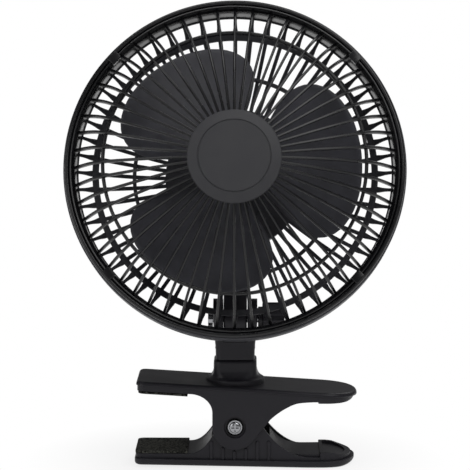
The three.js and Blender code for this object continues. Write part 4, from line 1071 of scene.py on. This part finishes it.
def bent_base(work):
    """Lifts the base a little towards the tips, and more at the handle's nose."""
    form = bmesh.new()
    form.from_mesh(work.data)
    for x in (40, 57, 59, 61, 63, 65):
        parts = form.verts[:] + form.edges[:] + form.faces[:]
        bmesh.ops.bisect_plane(form, geom=parts, plane_co=(x, 0, 0), plane_no=(1, 0, 0))
    for vertex in form.verts:
        x, z = vertex.co.x, vertex.co.z
        tip_lift = TIP_LIFT * max(0, 40 - x) / 96 * max(0, min(1, (7.6 - z) / 3.6))
        nose_lift = NOSE_LIFT * (max(0, x - 57) / 9.8) ** 2 * max(0, (6 - z) / 6)
        vertex.co.z += tip_lift + nose_lift
    form.to_mesh(work.data)
    form.free()


def build_lower_jaw():
    def base_plan(inset):
        reach = HANDLE_REACH - 0.7 - inset
        return jaw_plan(SILL_HALF - inset, LOWER_REACH - inset, reach, 4 - inset)

    jaw = work_object(prism(lower_middle(), -WALL_IN - 0.4, WALL_IN + 0.4, "xz"))
    front_wall = prism(lower_wall(), -WALL_OUT, -WALL_IN, "xz", 0.3)
    joined(jaw, front_wall, prism(lower_wall(), WALL_IN, WALL_OUT, "xz", 0.3))
    handle = [(LOWER_STEP, 1), (HANDLE_REACH, 1), *lower_middle()[2:9]]
    joined(jaw, prism(handle, -WALL_OUT, WALL_OUT, "xz", 0.5))
    plan = jaw_plan(WALL_OUT, LOWER_REACH - 0.4, HANDLE_REACH - 2.7, 3.5)
    combine(jaw, [prism(plan, -1, 60, "xy")], "INTERSECT")
    joined(jaw, rounded_plate(base_plan, 0, SILL, 1.8, 0.35), wall_ribs())
    boss, boss_end = 3.4, 19.4
    front_boss = rod("y", boss, -boss_end, -WALL_OUT + 1.5, (0, PIVOT_Z), 40)
    joined(jaw, front_boss, rod("y", boss, WALL_OUT - 1.5, boss_end, (0, PIVOT_Z), 40))
    grooves = turned(EAR_GROOVE, 48)
    cut(jaw, rod("y", PIVOT_HOLE, -30, 30, (0, PIVOT_Z), 32), thumb_dish(),
        *[([(x, side * y, z + PIVOT_Z) for x, y, z in grooves[0]], grooves[1]) for side in (-1, 1)])
    bent_base(jaw)
    finished(jaw, "clip_lower_jaw", JAW_ABS, "clip_base", ["lower_jaw"])


def pad_plan(start, half, corner):
    return [*arc((start + corner, corner - half), corner, 180, 270, 6), (PAD_END, -half), (PAD_END, half),
            *arc((start + corner, half - corner), corner, 90, 180, 6)]


def foam_pad(name, node, body, plan, thickness, height):
    """A die-cut foam pad glued to a jaw's seat, with its cut edges slightly rounded."""
    pad = work_object(prism(plan, 0, thickness, "xy", 0.3, 3))
    for vertex in pad.data.vertices:
        vertex.co.z += height(vertex.co.x)
    finished(pad, name, FOAM, body, [node])


def upper_pad_foot(x):
    """The height of the upper pad's lower face."""
    return seat_at(x) - PAD_GAP - UPPER_PAD


def build_pads():
    lower_plan = pad_plan(-LOWER_REACH + 0.3, 17.8, 3.4)
    foam_pad("grip_pad_lower", "lower_pad", "clip_base", lower_plan, LOWER_PAD, lambda x: LOWER_SEAT)
    upper_plan = pad_plan(PAD_START, HALF_DEPTH - 0.9, 3.2)
    foam_pad("grip_pad_upper", "upper_pad", "clip_lever", upper_plan, UPPER_PAD, upper_pad_foot)


def build_pivot_screw():
    """A pan head screw with a cross recess."""
    seat = HALF_DEPTH - 1.7 + 0.3
    rim = [(4, seat), (4.15, seat + 0.2), (4.15, seat + 0.6), (3.9, seat + 0.85), (3.3, seat + 0.8)]
    head = turned([(0, seat), *rim, *arc((0, seat + 0.9), 3.1, 14, 80, 7, 1.1), (0, seat + 2)], 72)
    screw = work_object(head)
    bar = prism(rounded_rectangle(4.4, 0.95, 0.3, 3), seat + 0.4, seat + 4, "xz")
    upright = prism(rounded_rectangle(0.95, 4.4, 0.3, 3), seat + 0.4, seat + 4, "xz")
    cut(screw, bar, upright)
    joined(screw, rod("y", 2, -HALF_DEPTH - 0.6, seat + 0.2, sides=32))
    place = Matrix.Translation((0, 0, PIVOT_Z)) @ Matrix.Rotation(math.pi, 4, "Z")
    finished(screw, "pivot_bolt", ZINC, "clip_base", ["pivot_screw"], place)


build_upper_jaw()
build_lower_jaw()
build_pads()
build_pivot_screw()

# ---- Kept nodes ------------------------------------------------------------------------------------

KEPT = {
    "pivot_nut": ZINC, "pivot_spacer": NYLON, "clip_spring": SPRING_STEEL, "swivel_washer": ZINC,
    "swivel_screw": ZINC, "tilt_bolt": ZINC, "motor_bracket": ZINC, "stator_core": LAMINATIONS,
    "stator_coil_1": COPPER, "stator_coil_2": COPPER, "stator_coil_3": COPPER, "stator_coil_4": COPPER,
    "stator_screw_1": ZINC, "stator_screw_2": ZINC, "cover_screw_1": ZINC, "cover_screw_2": ZINC,
    "cover_screw_3": ZINC, "front_bearing": BRONZE, "rear_bearing": BRONZE, "switch_body": NYLON,
    "cord_bushing": RUBBER, "motor_shaft": ZINC, "rotor_core": LAMINATIONS,
}
for node, material in KEPT.items():
    dress(node, material)

# ---- Studio ----------------------------------------------------------------------------------------


def background_material():
    """White to the camera and in reflections, and a plain pale surface for everything else."""
    material, tree, surface = new_material("studio_white", Base_Color=linear("#f2f2f2"), Roughness=0.9)
    glow = add_node(tree, "ShaderNodeEmission", Color=(1, 1, 1, 1), Strength=1.0)
    path = add_node(tree, "ShaderNodeLightPath")
    seen = add_node(
        tree, "ShaderNodeMath", {"operation": "MAXIMUM"},
        _0=path.outputs["Is Camera Ray"], _1=path.outputs["Is Glossy Ray"],
    ).outputs["Value"]
    place = add_node(tree, "ShaderNodeTexCoord").outputs["Object"]
    distance = add_node(tree, "ShaderNodeVectorMath", {"operation": "LENGTH"}, _0=place).outputs["Value"]
    share = add_node(tree, "ShaderNodeMapRange", Value=distance)
    share.inputs["From Min"].default_value = 0.05
    share.inputs["From Max"].default_value = 0.12
    share.inputs["To Min"].default_value = 0.8
    share.inputs["To Max"].default_value = 1.0
    part = add_node(
        tree, "ShaderNodeMath", {"operation": "MULTIPLY"}, _0=seen, _1=share.outputs["Result"]
    ).outputs["Value"]
    mix = add_node(
        tree, "ShaderNodeMixShader", _0=part, _1=surface.outputs["BSDF"], _2=glow.outputs["Emission"]
    )
    output = next(n for n in tree.nodes if n.type == "OUTPUT_MATERIAL")
    tree.links.new(mix.outputs["Shader"], output.inputs["Surface"])
    return material


def add_floor():
    size = 6000
    mesh = bpy.data.meshes.new("floor")
    corners = [(x * size * MM, y * size * MM, 0) for x, y in ((-1, -1), (1, -1), (1, 1), (-1, 1))]
    mesh.from_pydata(corners, [], [[0, 1, 2, 3]])
    floor = bpy.data.objects.new("floor", mesh)
    bpy.context.collection.objects.link(floor)
    mesh.materials.append(background_material())


def add_lamp(name, place, aim, size, power):
    lamp = bpy.data.lights.new(name, "AREA")
    lamp.shape = "RECTANGLE"
    lamp.size, lamp.size_y = size[0] * MM, size[1] * MM
    lamp.energy = power
    holder = bpy.data.objects.new(name, lamp)
    bpy.context.collection.objects.link(holder)
    holder.location = Vector(place) * MM
    holder.rotation_euler = (Vector(aim) - Vector(place)).to_track_quat("-Z", "Y").to_euler()


def light_studio():
    world = bpy.data.worlds.new("studio")
    scene.world = world
    world.use_nodes = True
    tree = world.node_tree
    tree.nodes.clear()
    path = add_node(tree, "ShaderNodeLightPath")
    seen = add_node(
        tree, "ShaderNodeMath", {"operation": "MAXIMUM"},
        _0=path.outputs["Is Camera Ray"], _1=path.outputs["Is Transmission Ray"],
    ).outputs["Value"]
    soft = add_node(tree, "ShaderNodeBackground", Color=(1, 1, 1, 1), Strength=0.15)
    white = add_node(tree, "ShaderNodeBackground", Color=(1, 1, 1, 1), Strength=1.0)
    mix = add_node(
        tree, "ShaderNodeMixShader", _0=seen, _1=soft.outputs["Background"], _2=white.outputs["Background"]
    )
    add_node(tree, "ShaderNodeOutputWorld", Surface=mix.outputs["Shader"])
    add_lamp("key", (450, -700, 800), (0, 0, 130), (600, 600), 3.9)
    add_lamp("fill", (-700, -700, 350), (0, 0, 120), (600, 600), 1.9)
    add_lamp("top", (0, -60, 1000), (0, 0, 100), (900, 450), 1.7)
    add_lamp("edge", (0, -350, 900), (0, 0, 60), (900, 120), 1.8)
    add_lamp("back", (500, 700, 900), (0, 0, 120), (600, 600), 2)


add_floor()
light_studio()
scene.view_settings.view_transform = "Standard"
